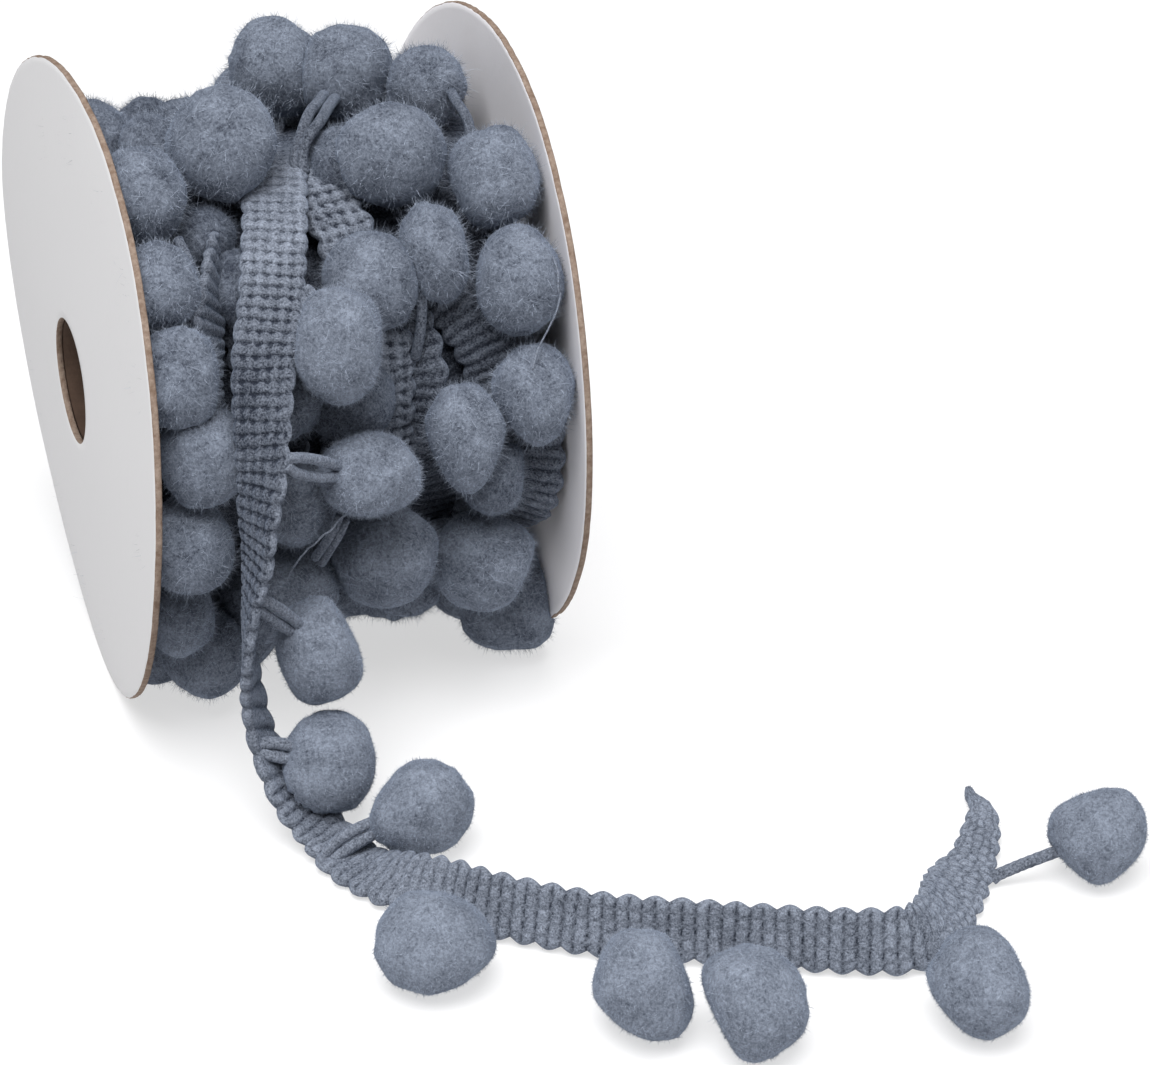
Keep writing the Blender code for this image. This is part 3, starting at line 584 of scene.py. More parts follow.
def makeLooseBraid():
    # the braid of the loose end, with the stitches that each stretch of it has, and a thin fuzz over it
    along = {name: np.interp(loose.stops, *rows) for name, rows in looseEnd["along"].items()}
    zones = [(np.interp(loose.stops, *rows), face) for rows, face in looseEnd["zones"]]
    pile = Pile()
    surface = knit(pile, loose, looseEnd["cells"], looseEnd["seed"], zones=zones, **along)
    addFuzz(pile, surface.reshape(-1, 3), unit(surface - loose.middle[:, None]).reshape(-1, 3))
    return pile.make("looseBraid", [yarn], ["loose_braid"])


looseBraid = makeLooseBraid()

turns = [
    {"x": -26.0, "wander": 1.0, "phase": 20, "fillFrom": 160, "fillTo": 280, "fill": 6},
    {"x": -13.0, "wander": 1.4, "phase": 140, "fillFrom": 160, "fillTo": 284, "fill": 7},
    {"x": 0.8, "wander": 1.2, "phase": 250, "fillFrom": 151, "fillTo": 276, "fill": 7},
    {"x": 13.8, "wander": 1.4, "phase": 60, "fillFrom": 143, "fillTo": 276, "fill": 7},
    {"x": 26.0, "wander": 1.0, "phase": 190, "fillFrom": 151, "fillTo": 278, "fill": 7},
]


def turnPlace(turn, angle):
    # how far along the reel the middle of a turn lies at an angle
    row = turns[turn]
    return row["x"] + row["wander"] * np.sin(np.radians(2 * angle + row["phase"]))


wound = {
    "radius": 32.6,
    "under": 30.4,        # the windings below the top ones
    "tilt": 9.0,          # degrees that a top turn leans
    "step": 0.469,        # between two points along a band
    "cells": 13,          # and across it
}

crossings = [
    # each band's tone is scaled from its start to its end by two given values, painted shade where it lies
    # among the pompoms
    # x, angle, radius of the middle, lean of the face along the reel in degrees, and a share of the width
    {"name": "over the front", "faces": (toothed, toothed), "paintedShades": (0.98, 0.72), "skew": 1.0,
     "rows": [(-0.9, 70.5, 38.4, 4, 0.25), (-0.3, 66.6, 38.8, 4, 0.6), (0.5, 61.5, 39.0, 6, 0.95),
              (1.4, 56, 38.9, 8, 1), (2.5, 50, 38.6, 8, 1), (3.4, 42, 38.0, 4, 1), (4.5, 32, 37.4, 0, 1),
              (5.0, 22, 37.4, -4, 1), (4.6, 10, 37.2, -8, 1), (3.8, -4, 36.0, -6, 1)]},
    {"name": "rungs in the middle", "faces": (ribbed, ribbed), "paintedShades": (0.50, 0.50),
     "rows": [(7.8, 36, 34.8, 14, 0.6), (8.8, 27, 35.8, 20, 1), (9.8, 17, 36.2, 22, 1),
              (9.6, 6, 35.8, 16, 1), (8.6, -6, 34.8, 8, 0.6)]},
    {"name": "on edge beside the loose end", "faces": (toothed, ribbed), "paintedShades": (0.55, 0.85),
     "rows": [(-15.2, 57, 35.6, -72, 0.5), (-16.4, 52, 37.4, -72, 0.7), (-17.8, 46, 38.8, -66, 1),
              (-19.4, 40.0, 39.4, -58, 1), (-20.8, 33.6, 39.4, -53, 1), (-21.8, 26.4, 39.2, -52, 1),
              (-22.4, 19, 38.2, -52, 1), (-22.4, 8, 36.2, -40, 1)]},
    {"name": "rungs right of the middle", "faces": (ribbed, ribbed), "paintedShades": (0.54, 0.54),
     "rows": [(10.5, 48, 34.8, 10, 0.6), (14.0, 39, 35.8, 16, 1), (17.5, 30, 36.5, 20, 1),
              (20.5, 21, 36.6, 20, 1), (23.0, 11, 36.0, 14, 1), (24.5, 0, 35.0, 8, 0.6)]},
    {"name": "rungs by the right card", "faces": (ribbed, ribbed), "paintedShades": (0.70, 0.70),
     "rows": [(24.0, 22, 35.2, 6, 0.6), (26.4, 10, 36.0, 14, 1), (27.4, -4, 37.4, 24, 1),
              (27.2, -16, 38.6, 30, 1), (26.2, -28, 37.6, 24, 1), (25.0, -40, 35.4, 10, 0.6)]},
]


def reelRibbon(x, angle, radius, lean, share=1.0, skew=0.0):
    # a band laid on the reel; lean turns its across direction out of the reel's axis
    middle = onReel(x, angle, radius)
    outward = unit(middle * [0, 1, 1] - np.array([0, 0, axisHeight]))
    tilt = np.radians(lean)[:, None]
    across = -(np.cos(tilt) * np.array([1.0, 0, 0]) + np.sin(tilt) * outward)
    stops = np.concatenate([[0], np.cumsum(np.linalg.norm(np.diff(middle, axis=0), axis=1))])
    return Ribbon(stops, middle, across, np.broadcast_to(share, angle.shape), skew)


def addSleeve(pile):
    # the windings below the top turns: a sleeve with ribs along the reel, sunk at the seams between its
    # bands; its tone is painted shade, near black, a little lighter on the ribs
    look = {"around": 312, "rings": 25, "half": 31.2, "band": 10.4, "ribs": 104, "seam": 1.3, "clear": 0.4}
    around, half = look["around"], look["half"]
    angle = np.arange(around) * 360 / around
    x = np.linspace(-half, half, look["rings"])
    band = (x[:, None] + half) / look["band"]
    rib = hump(angle[None] / 360 * look["ribs"] + 0.37 * np.floor(band), 2.4)
    seam = np.clip(np.abs(band - np.round(band)) * 9, 0, 1)
    top = onReel(x[:, None], angle[None], wound["under"] - look["seam"] + seam * (0.9 + 0.55 * rib))
    inner = reel["bore"] + reel["coreWall"] + look["clear"]
    points = np.concatenate([onReel(-half, angle, inner), top.reshape(-1, 3), onReel(half, angle, inner)])
    ends = np.zeros(around)
    tone = np.concatenate([ends, np.clip(0.2 * rib * seam, 0, 1).ravel(), ends])
    pile.add(points, gridQuads(len(x) + 2, around, closedRings=True)[:, ::-1], tone=tone)


def makeWound():
    # each top turn is a band once round the reel that sways, swells and leans with its angle
    pile = Pile()
    for number in range(len(turns)):
        points = int(2 * np.pi * wound["radius"] / wound["step"])
        angle = np.linspace(0, 360, points) + 40 * number
        sway = np.sin(np.radians(angle + 70 * number))
        lean = wound["tilt"] * np.sin(np.radians(angle * 2 + 100 * number))
        ribbon = reelRibbon(turnPlace(number, angle) + 0.6 * sway, angle, wound["radius"] + 0.3 * sway, lean)
        # the top turns are painted at 0.30, painted shade down among the pompoms
        knit(pile, ribbon, wound["cells"], 100 + number, (ribbed, ribbed), 0.30)
    addSleeve(pile)
    pile.make("woundBraid", [yarn], ["wound_braid"])


def makeCrossings():
    # bands that cross over the turns
    pile = Pile()
    for number, band in enumerate(crossings):
        rows = np.array(band["rows"], float)
        knots = np.concatenate([onReel(rows[:, 0], rows[:, 1], rows[:, 2]), rows], axis=1)
        stops, dense = smoothPath(knots, wound["step"])
        ribbon = reelRibbon(*dense[:, 3:].T, skew=band.get("skew", 0.0))
        # painted shade along the band
        paintedShades = np.linspace(*band["paintedShades"], len(stops))
        knit(pile, ribbon, 24, 200 + number, band["faces"], paintedShades, keep=settle)
    pile.make("crossingBraid", [yarn])


makeWound()
makeCrossings()


pompom = {
    "around": 36, "rings": 19,
    "usual": 7.5,         # radius at which its bulges and lumps are read
    "bulge": 0.055,       # share of the radius that the ball is out of true
    "lump": 0.022,
    "near": 20.0,         # balls further apart than this don't meet
    "seed": 7,
}

coats = {
    # tone of the felt, lower on the reel and a little lower on the hanging balls as painted shade, length of
    # its nap, tone and number of the hairs, that tone paler than the felt as painted light, and how finely
    # the stalk is drawn
    "reel": {"felt": 0.31, "nap": 1.22, "hairs": 0.62, "fibres": 3000, "stalk": (7, 6)},
    "hanging": {"felt": 0.37, "nap": 0.75, "hairs": 0.60, "fibres": 8000, "stalk": (26, 12)},
    "lying": {"felt": 0.41, "nap": 0.48, "hairs": 0.66, "fibres": 8000, "stalk": (26, 12)},
}

frontPompoms = [
    # turn, x, angle, radius of the centre, size along the reel, size round it
    (0, -25.0, 139, 37.2, 12.5, 11.0), (0, -27.0, 112, 37.0, 12.5, 10.5), (0, -28.0, 88, 38.5, 12.0, 13.0),
    (0, -21.6, 80, 39.0, 10.5, 12.5), (0, -26.4, 63, 42.5, 13.0, 15.0), (0, -27.4, 42, 42.0, 11.5, 13.5),
    (0, -27.2, 24, 42.5, 13.0, 15.5), (0, -24.4, 7, 40.8, 13.0, 15.5), (0, -27.6, -14, 41.5, 13.5, 15.0),
    (0, -28.0, -38, 41.5, 11.0, 14.0), (0, -22.0, -58, 44.5, 14.0, 15.5),
    (1, -13.0, 140, 37.2, 12.0, 10.5), (1, -16.5, 118, 37.0, 10.5, 8.5), (1, -13.4, 95, 37.0, 12.0, 10.5),
    (1, -13.0, 70, 45.2, 16.5, 17.0), (1, -17.6, 56, 35.8, 9.5, 9.5), (1, -14.6, 42, 36.2, 9.5, 12.0),
    (1, -10.6, 16, 39.0, 11.0, 13.0), (1, -11.2, -8, 40.0, 12.5, 13.5), (1, -10.0, -34, 42.0, 13.0, 13.5),
    (1, -12.0, -55, 38.6, 13.0, 12.5),
    (2, 2.8, 131, 40.5, 13.0, 13.0), (2, 3.6, 106, 43.3, 15.5, 15.7), (2, 6.0, 67.5, 38.6, 11.5, 12.5),
    (2, 4.2, 37, 40.5, 14.5, 15.0), (2, -0.9, 12, 37.5, 13.5, 13.0), (2, 3.4, -28, 41.0, 16.5, 17.0),
    (2, 2.0, -54, 38.0, 13.0, 11.5),
    (3, 14.2, 120, 38.0, 14.0, 14.0), (3, 12.6, 98, 42.5, 15.0, 14.5), (3, 11.3, 63, 43.2, 17.6, 14.8),
    (3, 14.2, 41, 42.0, 10.8, 15.5), (3, 15.2, 2, 42.5, 12.5, 16.5), (3, 16.5, -42, 38.5, 12.0, 12.0),
    (3, 9.6, -50, 40.2, 12.0, 11.5),
    (4, 26.0, 132, 37.5, 13.0, 13.0), (4, 27.5, 112, 37.2, 12.0, 12.5), (4, 23.7, 90, 40.4, 12.2, 13.0),
    (4, 26.0, 54, 43.0, 13.8, 16.0), (4, 25.6, 32, 43.0, 13.2, 16.2), (4, 26.0, 9, 43.0, 13.2, 16.0),
    (4, 20.8, -11, 38.8, 11.5, 13.5), (4, 20.0, -32.5, 43.5, 17.0, 15.8), (4, 28.2, -59, 45.8, 17.0, 15.5),
]
fillPompom = (42.6, 14.6, 15.4)                     # radius of the centre and the two sizes
fillSpread = np.array([1.8, 2.0, 1.4, 1.0, 1.0])    # how far x, angle and these may differ

loosePompoms = [
    # x, y, z, width, depth, height, then where its stalk leaves the braid, along it and across it, and the
    # stalk's lift, half gap and strand radius
    (-5.1, -45.2, 71.4, 15.2, 13.6, 18.2, 39.6, -4.6, 0.0, 0.35, 0.8),
    (-1.4, -46.6, 50.4, 15.5, 14.5, 13.5, 66.0, -4.6, 0.0, 1.5, 0.8),
    (-11.4, -52.0, 25.6, 14.9, 14.0, 15.8, 86.4, -1.4, 1.4, 0.8, 0.85),
    (-12.7, -58.8, 9.7, 15.8, 15.4, 15.8, 111.6, -3.0, 2.4, 0.7, 0.92),
    (-2.6, -71.4, 7.4, 15.4, 14.8, 14.8, 132.6, -3.0, 3.0, 0.6, 0.9),
    (-10.5, -103.2, 7.6, 17.0, 16.0, 15.2, 156.9, -4.6, 0.0, 0.5, 0.7),
    (12.1, -122.8, 7.5, 14.4, 16.5, 15.0, 179.6, -4.6, 0.0, 0.5, 0.7),
    (24.4, -131.8, 7.6, 15.0, 17.5, 15.2, 202.3, -4.6, 0.0, 0.6, 0.7),
    (54.9, -138.9, 7.4, 14.4, 15.6, 14.8, 225.0, -4.6, 0.0, 0.5, 0.7),
    (87.0, -112.1, 7.2, 14.8, 13.8, 14.4, 246.2, -4.6, 0.0, -1.2, 0.7),
]

# where a ball has been squeezed flat: direction in degrees as seen from the left front (0 right, 90 up)
# and distance from its middle
looseFlats = [
    [(0, 6.3), (215, 6.9)], [(270, 6.1), (100, 6.4)], [(25, 4.8), (200, 6.4)], [(5, 6.8), (330, 7.1)],
    [(150, 6.7), (270, 7.0)], [(75, 6.0), (305, 6.9), (35, 6.4)], [(232, 6.3), (20, 5.8), (165, 6.8)],
    [(205, 5.2), (60, 7.8)], [(222, 5.8), (20, 5.9)], [(225, 5.7), (110, 6.2), (315, 6.2)],
]
reelFlats = {
    (0, 24): [(0, 5.9)], (3, 41): [(10, 4.7), (190, 5.0)], (3, 2): [(335, 5.3), (205, 5.5)],
    (4, 9): [(345, 5.3), (225, 5.8)], (4, -11): [(0, 4.4), (90, 4.2)], (4, -32.5): [(335, 6.2), (70, 6.9)],
}


def viewAxes():
    # right, up and back directions of the view from the left front
    el, az = np.radians(29.0), np.radians(-20.6)
    back = np.array([np.sin(az) * np.cos(el), -np.cos(az) * np.cos(el), np.sin(el)])
    right = unit(np.cross(-back, [0.0, 0.0, 1.0]))
    return right, np.cross(back, right), back


class Ball:
    # one pompom: its middle, its half sizes, where its stalk starts and passes and what it is pressed against

    def __init__(self, centre, sizes, sideways, root, seed, flats=(), turn=None, over=None, gap=0.5,
                 strand=0.7, paintedDepthShade=1.0):
        self.centre, self.root, self.seed, self.turn = centre, root, seed, turn
        self.over = root if over is None else over
        self.gap, self.strand, self.paintedDepthShade = gap, strand, paintedDepthShade
        sideways = np.array(sideways, float)
        self.axes = sideways.T @ np.diag(sizes) @ sideways / 2
        right, up, _ = viewAxes()
        self.walls = [(np.cos(np.radians(angle)) * right + np.sin(np.radians(angle)) * up, distance * 1.08, 7)
                      for angle, distance in flats]

    def reach(self, direction):
        return np.linalg.norm(self.axes @ direction)

    def surface(self, directions):
        # an ellipsoid with a few broad bulges and small lumps, flattened softly against every wall it meets
        places = directions * pompom["usual"]
        swell = (1 + pompom["bulge"] * ripple(places, 11.0, self.seed)
                 + pompom["lump"] * ripple(places, 3.4, self.seed + 900))
        arms = directions @ self.axes * swell[:, None]
        for direction, wall, sharp in self.walls:
            out = np.maximum(arms @ direction, 0.0) / wall
            arms = arms * ((1 + out**sharp) ** (-1 / sharp))[:, None]
        return clearOfBraid(self, self.centre + arms)

    def shade(self, points):
        # painted shade: darker down among the windings, and on the reel towards the surface
        low = 1.0 if self.turn is None else 0.72 + 0.28 * ramp(2.0, 24.0, points[:, 2])
        return self.paintedDepthShade * low


def reelBalls():
    # the pompoms in front as listed, then those behind and below, spread along each turn
    chance = np.random.default_rng(pompom["seed"])
    rows = list(frontPompoms)
    for turn, row in enumerate(turns):
        for angle in np.linspace(row["fillFrom"], row["fillTo"], row["fill"]):
            usual = np.array([turnPlace(turn, angle), angle, *fillPompom])
            rows.append((turn, *(usual + fillSpread * chance.uniform(-1, 1, 5))))
    balls = []
    for number, (turn, x, angle, radius, width, height) in enumerate(rows):
        centre = onReel(x, angle, radius)
        outward = unit(centre * [0, 1, 1] - np.array([0, 0, axisHeight]))
        sideways = ((1, 0, 0), outward, np.cross(outward, (1.0, 0.0, 0.0)))
        root = onReel(turnPlace(turn, angle), angle, wound["radius"] + 0.6)
        # painted shade on the balls that sit deep in the pack
        paintedDepthShade = 0.52 + 0.48 * ramp(36.5, 41.5, radius)
        balls.append(Ball(centre, [width, (width + height) / 2, height], sideways, root, 11 + number,
                          reelFlats.get((turn, angle), []), turn, paintedDepthShade=paintedDepthShade))
    return balls


def looseBalls():
    # the pompoms of the loose end, each hung from its own place on the braid
    balls = []
    for order, (x, y, z, width, depth, height, leaves, across, lift, gap, strand) in enumerate(loosePompoms):
        stop = loose.at(leaves)
        root, over = loose.place(stop, across, 0.0), loose.place(stop, across, lift) if lift else None
        balls.append(Ball(np.array([x, y, z]), [width, depth, height], np.eye(3), root, 611 + order,
                          looseFlats[order], over=over, gap=gap, strand=strand))
    return balls


def pressNeighbours(balls):
    # two balls that would meet share the space between them by their sizes
    for one in balls:
        for other in balls:
            gap = other.centre - one.centre
            distance = np.linalg.norm(gap)
            if one is other or distance > pompom["near"]:
                continue
            direction = gap / distance
            mine, theirs = one.reach(direction), other.reach(direction)
            if mine + theirs > distance:
                one.walls.append((direction, distance * mine / (mine + theirs) + 0.3, 14))


def clearOfBraid(ball, points):
    # points that would pass into the loose end come back towards the ball's middle
    look = {"every": 6, "near": 16.0, "along": 2.5, "halfThick": 1.15, "halfWide": 5.1, "least": 0.3}
    near = loose.middle[::look["every"]]
    if np.min(np.linalg.norm(near - ball.centre, axis=1)) > look["near"]:
        return points
    nearest = look["every"] * np.argmin(((points[:, None] - near[None]) ** 2).sum(axis=2), axis=1)
    middle, keep = loose.middle[nearest], np.zeros(len(points))
    meets = np.abs(((points - middle) * loose.along[nearest]).sum(axis=1)) < look["along"]
    for direction, half in ((loose.face[nearest], look["halfThick"]),
                            (loose.across[nearest], look["halfWide"])):
        own = ((ball.centre - middle) * direction).sum(axis=1)
        reach = np.where(own < 0, -1.0, 1.0) * ((points - middle) * direction).sum(axis=1)
        meets &= reach < half
        keep = np.maximum(keep, (np.abs(own) - half) / np.maximum(np.abs(own) - reach, 1e-6))
    share = np.where(meets, np.clip(keep, look["least"], 1.0), 1.0)
    return ball.centre + (points - ball.centre) * share[:, None]


def ballGrid():
    # directions over a sphere in rings, poles apart, and its quads and caps
    rings, around = pompom["rings"], pompom["around"]
    down = (np.arange(rings)[:, None] + 1) * np.pi / (rings + 1)
    turn = np.arange(around) * 2 * np.pi / around
    ways = np.broadcast_arrays(np.sin(down) * np.cos(turn), np.sin(down) * np.sin(turn), np.cos(down))
    directions = np.concatenate([np.stack(ways, axis=-1).reshape(-1, 3), [[0, 0, 1], [0, 0, -1]]])
    last = rings * around
    caps = np.concatenate([capFan(0, around, last, False), capFan(last - around, around, last + 1, True)])
    return directions, gridQuads(rings, around)[:, ::-1], caps


ballShape = ballGrid()


def addBall(pile, ball, tone):
    # the felt of one pompom, with faint clouds in its tone
    directions, quads, caps = ballShape
    points = settle(ball.surface(directions))
    clouds = 0.05 * ripple(directions * pompom["usual"], 5.0, ball.seed + 50)
    pile.add(points, quads, caps, tone=tone * ball.shade(points) + clouds)


nap = {
    "standing": 0.65,           # share of the short hairs that stand; the others lie nearly flat
    "standLean": (5, 62), "flatLean": (60, 86),
    "length": (0.5, 1.3),       # and the share that is longer, and by how much
    "longShare": 0.12, "long": 1.7,
    "halfWidth": (0.024, 0.040),
    "forEachBent": 40,          # short hairs for one long bent one
    "bentSteps": 4, "bentLength": (0.35, 0.95), "bentHalf": 0.028,
    "floor": 0.03,
}


def addFibres(pile, ball, count, length, tone):
    # a dense nap of short straight hairs, most of them nearly flat, and a few long bent ones over it
    chance = np.random.default_rng(ball.seed + 4000)
    foot = settle(ball.surface(unit(chance.normal(size=(count, 3)))))
    out = unit(foot - ball.centre)
    flat = unit(np.cross(out, chance.normal(size=(count, 3))))
    standing = chance.random(count) < nap["standing"]
    lean = np.radians(np.where(standing, chance.uniform(*nap["standLean"], count),
                               chance.uniform(*nap["flatLean"], count)))
    reach = (length * chance.uniform(*nap["length"], count)
             * np.where(chance.random(count) < nap["longShare"], nap["long"], 1.0))
    way = np.cos(lean)[:, None] * out + np.sin(lean)[:, None] * flat
    side = unit(np.cross(way, out + 0.5 * chance.normal(size=(count, 3))))
    side = side * chance.uniform(*nap["halfWidth"], count)[:, None]
    start = foot - 0.08 * out
    points = np.stack([start - side, start + side, start + way * reach[:, None]], axis=1)
    points[..., 2] = np.maximum(points[..., 2], nap["floor"])
    # the hairs take the pale tone given for them, painted light on the lit fuzz, and the ball's painted shade
    tones = np.clip(chance.normal(tone, 0.20, count), 0.15, 1.1) * ball.shade(foot)
    pile.add(points, triangles=np.arange(count * 3), tone=np.repeat(tones, 3))
    addBentHairs(pile, ball, chance, count // nap["forEachBent"], length)


def addBentHairs(pile, ball, chance, count, length):
    # ribbons of a few steps that start along the felt, turn with their curl and come back towards it
    steps = nap["bentSteps"]
    foot = settle(ball.surface(unit(chance.normal(size=(count, 3)))))
    out = unit(foot - ball.centre)
    way = unit(np.cross(out, chance.normal(size=(count, 3))) + out * chance.uniform(0.0, 0.7, count)[:, None])
    curl = unit(chance.normal(size=(count, 3))) * chance.uniform(0.05, 0.25, count)[:, None]
    stride = length * chance.uniform(*nap["bentLength"], count)[:, None]
    route = [foot]
    for step in range(steps):
        way = unit(way + curl - 0.16 * step * out)
        route.append(route[-1] + way * stride)
    side = unit(np.cross(way, out)) * nap["bentHalf"]
    points = np.stack([route[k] + hand * side * (1 - 0.22 * k) for k in range(steps + 1) for hand in (-1, 1)],
                      axis=1)
    points[..., 2] = np.maximum(points[..., 2], nap["floor"])
    strip = np.array([[2 * k, 2 * k + 1, 2 * k + 3, 2 * k + 2] for k in range(steps)])
    first = (np.arange(count) * (2 * steps + 2))[:, None, None]
    # the long hairs are paler than the felt, painted light on the lit fuzz, and take the ball's painted shade
    # of depth
    tones = np.repeat(chance.uniform(0.6, 1.05, count) * ball.paintedDepthShade, 2 * steps + 2)
    pile.add(points, first + strip[None], tone=tones)


cord = {
    "ply": 0.05,          # share of the radius that the rope pattern stands up
    "pitch": 1.1,         # its length along the strand
    "stalk": 0.66,        # tones of the stalks, the crossing cords and the loose yarns
    "crossing": 0.42,
    "yarn": 0.70,
    "thin": 0.3,          # a strand under this radius is a loose yarn
}


def addTube(pile, route, radius, around, tone):
    # a round strand along a route: the radius swells with the cosine of twice the angle plus the run
    along = unit(np.gradient(route, axis=0))
    aside = unit(np.cross(along, along[len(along) // 2] + np.array([0.31, 0.47, 0.83])))
    up = np.cross(along, aside)
    turn = np.arange(around) * 2 * np.pi / around
    run = np.concatenate([[0], np.cumsum(np.linalg.norm(np.diff(route, axis=0), axis=1))])
    wave = np.cos(2 * turn[None] + 2 * np.pi * run[:, None] / cord["pitch"])
    thick = (radius * (1 + cord["ply"] * wave))[..., None]
    ways = np.cos(turn)[None, :, None] * aside[:, None] + np.sin(turn)[None, :, None] * up[:, None]
    tones = np.concatenate([(tone + 0.5 * cord["ply"] * wave).ravel(), [tone, tone]])
    addRings(pile, route[:, None] + thick * ways, np.stack([route[0], route[-1]]), tones, look=1)


def addStalk(pile, ball, rings, around):
    # two strands side by side on a quadratic curve, that part in the middle and close at both ends
    start = ball.root
    reachIn = ball.centre + 0.55 * (ball.surface(unit((ball.over - ball.centre)[None]))[0] - ball.centre)
    t = np.linspace(0, 1, rings)[:, None]
    bow = start + (ball.over - start) * 1.4
    sag = np.array([0, 0, -0.4]) * ball.gap
    pull = bow * 0.6 + (start + reachIn) / 2 * 0.4 + sag
    route = (1 - t) ** 2 * start + 2 * t * (1 - t) * pull + t**2 * reachIn
    aside = unit(np.cross(unit(reachIn - start), np.array([0.45, 0.80, -0.40])))
    parted = 0.62 * ball.strand + (0.15 * ball.strand + 0.45 * ball.gap) * np.sin(np.pi * t)
    for hand in (-1, 1):
        strand = route + hand * np.maximum(parted, 0.2) * aside
        strand[:, 2] = np.maximum(strand[:, 2], ball.strand + clear["floor"])
        addTube(pile, strand, ball.strand, around, cord["stalk"])


strays = [
    # strand radius, then x, angle, radius along its way
    {"name": "doubled cord from the top, left strand", "strand": 0.9,
     "rows": [(13.3, 112.5, 37.5), (8.4, 93.2, 40.5), (4.8, 82.7, 42.6), (2.5, 78.1, 43.4),
              (1.0, 74.8, 43.4), (0.1, 72.9, 42.8), (-0.5, 71.7, 42.0), (-1.1, 70.5, 41.2),
              (-1.8, 68.2, 40.4), (-2.0, 65.7, 39.4)]},
    {"name": "doubled cord from the top, right strand", "strand": 0.9,
     "rows": [(14.8, 112.6, 37.5), (9.2, 89.8, 40.5), (5.8, 80.1, 42.8), (3.8, 75.2, 43.8),
              (2.1, 72.6, 43.8), (0.9, 71.3, 43.2), (0.0, 70.2, 42.4), (-0.6, 69.0, 41.6),
              (-0.9, 67.3, 40.6), (-0.9, 65.0, 39.4)]},
    {"name": "cord right of the middle", "strand": 0.8,
     "rows": [(11.2, 35, 40.6), (10.9, 31, 41.2), (10.5, 27, 40.4), (10.0, 23, 39.2), (9.5, 19, 37.4)]},
    {"name": "cord behind the right balls", "strand": 0.8,
     "rows": [(25.7, 81.1, 42.0), (24.8, 74.3, 43.6), (24.8, 70.4, 44.2), (24.8, 67.5, 44.2),
              (24.7, 65.1, 43.4), (24.6, 63.2, 42.0)]},
    {"name": "cord to the braid on edge, left", "strand": 0.7,
     "rows": [(-27, 49.2, 43.5), (-24.8, 45, 43.5), (-22.9, 41.4, 42.5), (-21.4, 38.1, 40.5),
              (-20.8, 36, 38.5)]},
    {"name": "cord to the braid on edge, right", "strand": 0.7,
     "rows": [(-23.2, 51.2, 43), (-22.5, 46.1, 43.2), (-21.6, 42.2, 42), (-20.5, 38.5, 40),
              (-20.0, 36.4, 38)]},
    {"name": "cord below the middle, left", "strand": 0.7,
     "rows": [(-5.8, -7.3, 46), (-6.8, -9.7, 46.5), (-7.9, -13.3, 46), (-9, -19, 44.5)]},
    {"name": "cord below the middle, right", "strand": 0.7,
     "rows": [(-4.9, -8.6, 46), (-5.9, -11, 46.5), (-7, -14.7, 46), (-7.8, -20.7, 44.5)]},
    {"name": "loose yarn below the middle", "strand": 0.14,
     "rows": [(-2, 0, 49), (-3.6, -2.4, 49.5), (-6.3, -4.4, 49.5), (-8.1, -6.8, 49.5), (-11.5, -10, 49.5),
              (-13.6, -13.9, 49), (-14.2, -18.5, 48.5), (-12.8, -25, 48), (-10.9, -31.3, 47)]},
    {"name": "loose yarn by the right card", "strand": 0.14,
     "rows": [(29.4, 34.6, 49.5), (29.4, 32.1, 50), (29.3, 28.7, 50.2), (28.6, 25.4, 49.6),
              (26.8, 21.8, 48.6), (25.2, 18.9, 48.2), (23.7, 15.9, 49.6)]},
]


def addStray(pile, row):
    # a cord that crosses the pack, or a loose yarn, which wavers a little
    knots = np.array(row["rows"], float)
    _, route = smoothPath(onReel(knots[:, 0], knots[:, 1], knots[:, 2]), 0.5)
    loosened = row["strand"] < cord["thin"]
    if loosened:
        route = route + 0.14 * ripple(route, 2.5, 77)[:, None]
    addTube(pile, route, row["strand"], 8, cord["yarn"] if loosened else cord["crossing"])


def dress(pile, ball, coat):
    # one whole pompom: felt, nap and stalk
    addBall(pile, ball, coat["felt"])
    addFibres(pile, ball, coat["fibres"], coat["nap"], coat["hairs"])
    addStalk(pile, ball, *coat["stalk"])


onPack, hanging = reelBalls(), looseBalls()
pressNeighbours(onPack + hanging)
print(len(onPack) + len(hanging), "pompoms shaped")

for number in range(len(turns)):
    pile = Pile()
    for ball in onPack:
        if ball.turn == number:
            dress(pile, ball, coats["reel"])
    nodes = [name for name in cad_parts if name.startswith(f"fringe_turn_{number + 1}_")]
    pile.make(f"pompomTurn{number + 1}", [felt, yarn], nodes)

pile = Pile()
for row in strays:
    addStray(pile, row)
pile.make("strayCords", [felt, yarn])

pile = Pile()
for ball in hanging:
    dress(pile, ball, coats["hanging" if ball.centre[2] > 40 else "lying"])
hangingPompoms = pile.make("pompomLooseEnd", [felt, yarn],
                           [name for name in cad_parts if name.startswith("loose_fringe_")])


studio = {
    "floor": 4.0, "floorColour": (0.36, 0.36, 0.365, 1), "glow": 0.6,
    "world": (1.0, 1.0, 1.0, 1), "worldStrength": 0.24,
    "aim": (0, 0, 0.04),
    "key": {"place": (-0.28, -0.42, 1.22), "size": 1.0, "power": 29.5},
    "fill": {"place": (0.7, -0.9, 0.8), "size": 0.8, "power": 2.5},
}


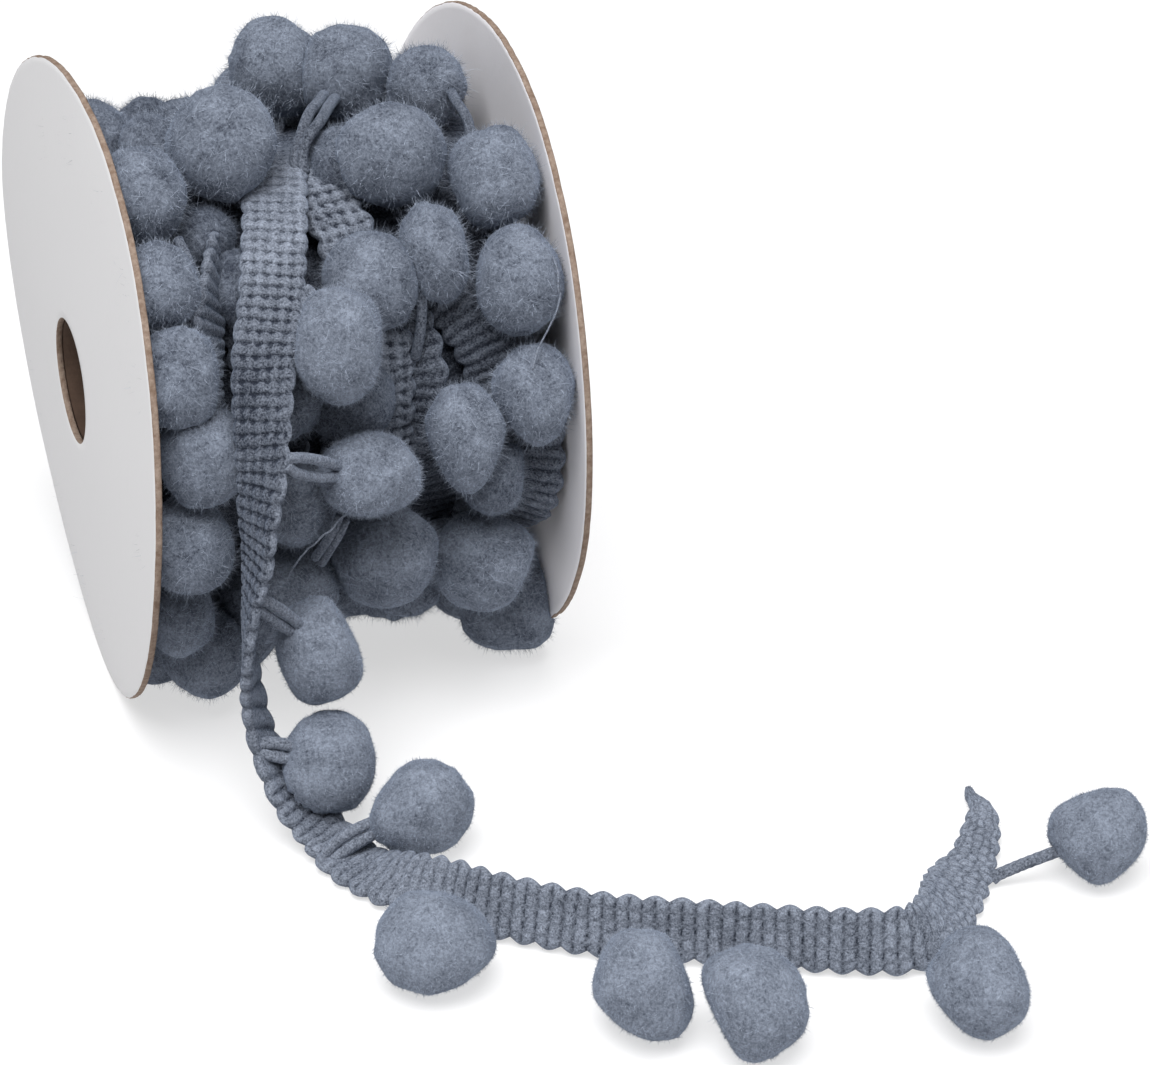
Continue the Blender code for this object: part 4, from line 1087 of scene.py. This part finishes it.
def makeFloor():
    # one flat square that glows a little, so that it comes out pale
    half = studio["floor"] / 2
    mesh = bpy.data.meshes.new("floor")
    corners = [(-half, -half, 0), (half, -half, 0), (half, half, 0), (-half, half, 0)]
    mesh.from_pydata(corners, [], [(0, 1, 2, 3)])
    floor = bpy.data.objects.new("floor", mesh)
    bpy.context.scene.collection.objects.link(floor)
    paint = Paint("paleFloor", 0.9, Specular_IOR_Level=0.1, Emission_Strength=studio["glow"],
                  Emission_Color=(1, 1, 1, 1), Base_Color=studio["floorColour"])
    mesh.materials.append(paint.material)


def aimed(place, right, up, back):
    # a matrix that stands at a place in metres and looks against back
    turn = Matrix(np.stack([right, up, back], axis=1).tolist()).to_4x4()
    return Matrix.Translation(place) @ turn


def makeLight(name):
    # a square lamp aimed at the reel
    look = studio[name]
    light = bpy.data.lights.new(name, "AREA")
    light.size = look["size"]
    light.energy = look["power"]
    lamp = bpy.data.objects.new(name, light)
    bpy.context.scene.collection.objects.link(lamp)
    back = unit(np.array(look["place"]) - studio["aim"])
    right = unit(np.cross([0, 0, 1], back))
    lamp.matrix_world = aimed(look["place"], right, np.cross(back, right), back)


def makeCamera():
    # aimed from the left front at the reel's middle, a little below it and to the right
    look = {"distance": 550.0, "right": 45.2, "up": -29.4, "lens": 109.25}
    right, up, back = viewAxes()
    target = np.array([0, 0, axisHeight]) + look["right"] * right + look["up"] * up
    data = bpy.data.cameras.new("camera")
    data.lens, data.sensor_width = look["lens"], 36.0
    data.clip_start, data.clip_end = 0.01, 20.0
    camera = bpy.data.objects.new("camera", data)
    bpy.context.scene.collection.objects.link(camera)
    place = (target + look["distance"] * back) * mm + reelHome
    camera.matrix_world = aimed(place.tolist(), right, up, back)
    bpy.context.scene.camera = camera


def makeWorld():
    # an even light from all round, and colours shown as they are
    world = bpy.data.worlds.new("studio")
    world.use_nodes = True
    background = world.node_tree.nodes["Background"]
    background.inputs["Color"].default_value = studio["world"]
    background.inputs["Strength"].default_value = studio["worldStrength"]
    bpy.context.scene.world = world
    bpy.context.scene.view_settings.view_transform = "Standard"


makeFloor()
makeLight("key")
makeLight("fill")
makeWorld()
makeCamera()
print("studio set")
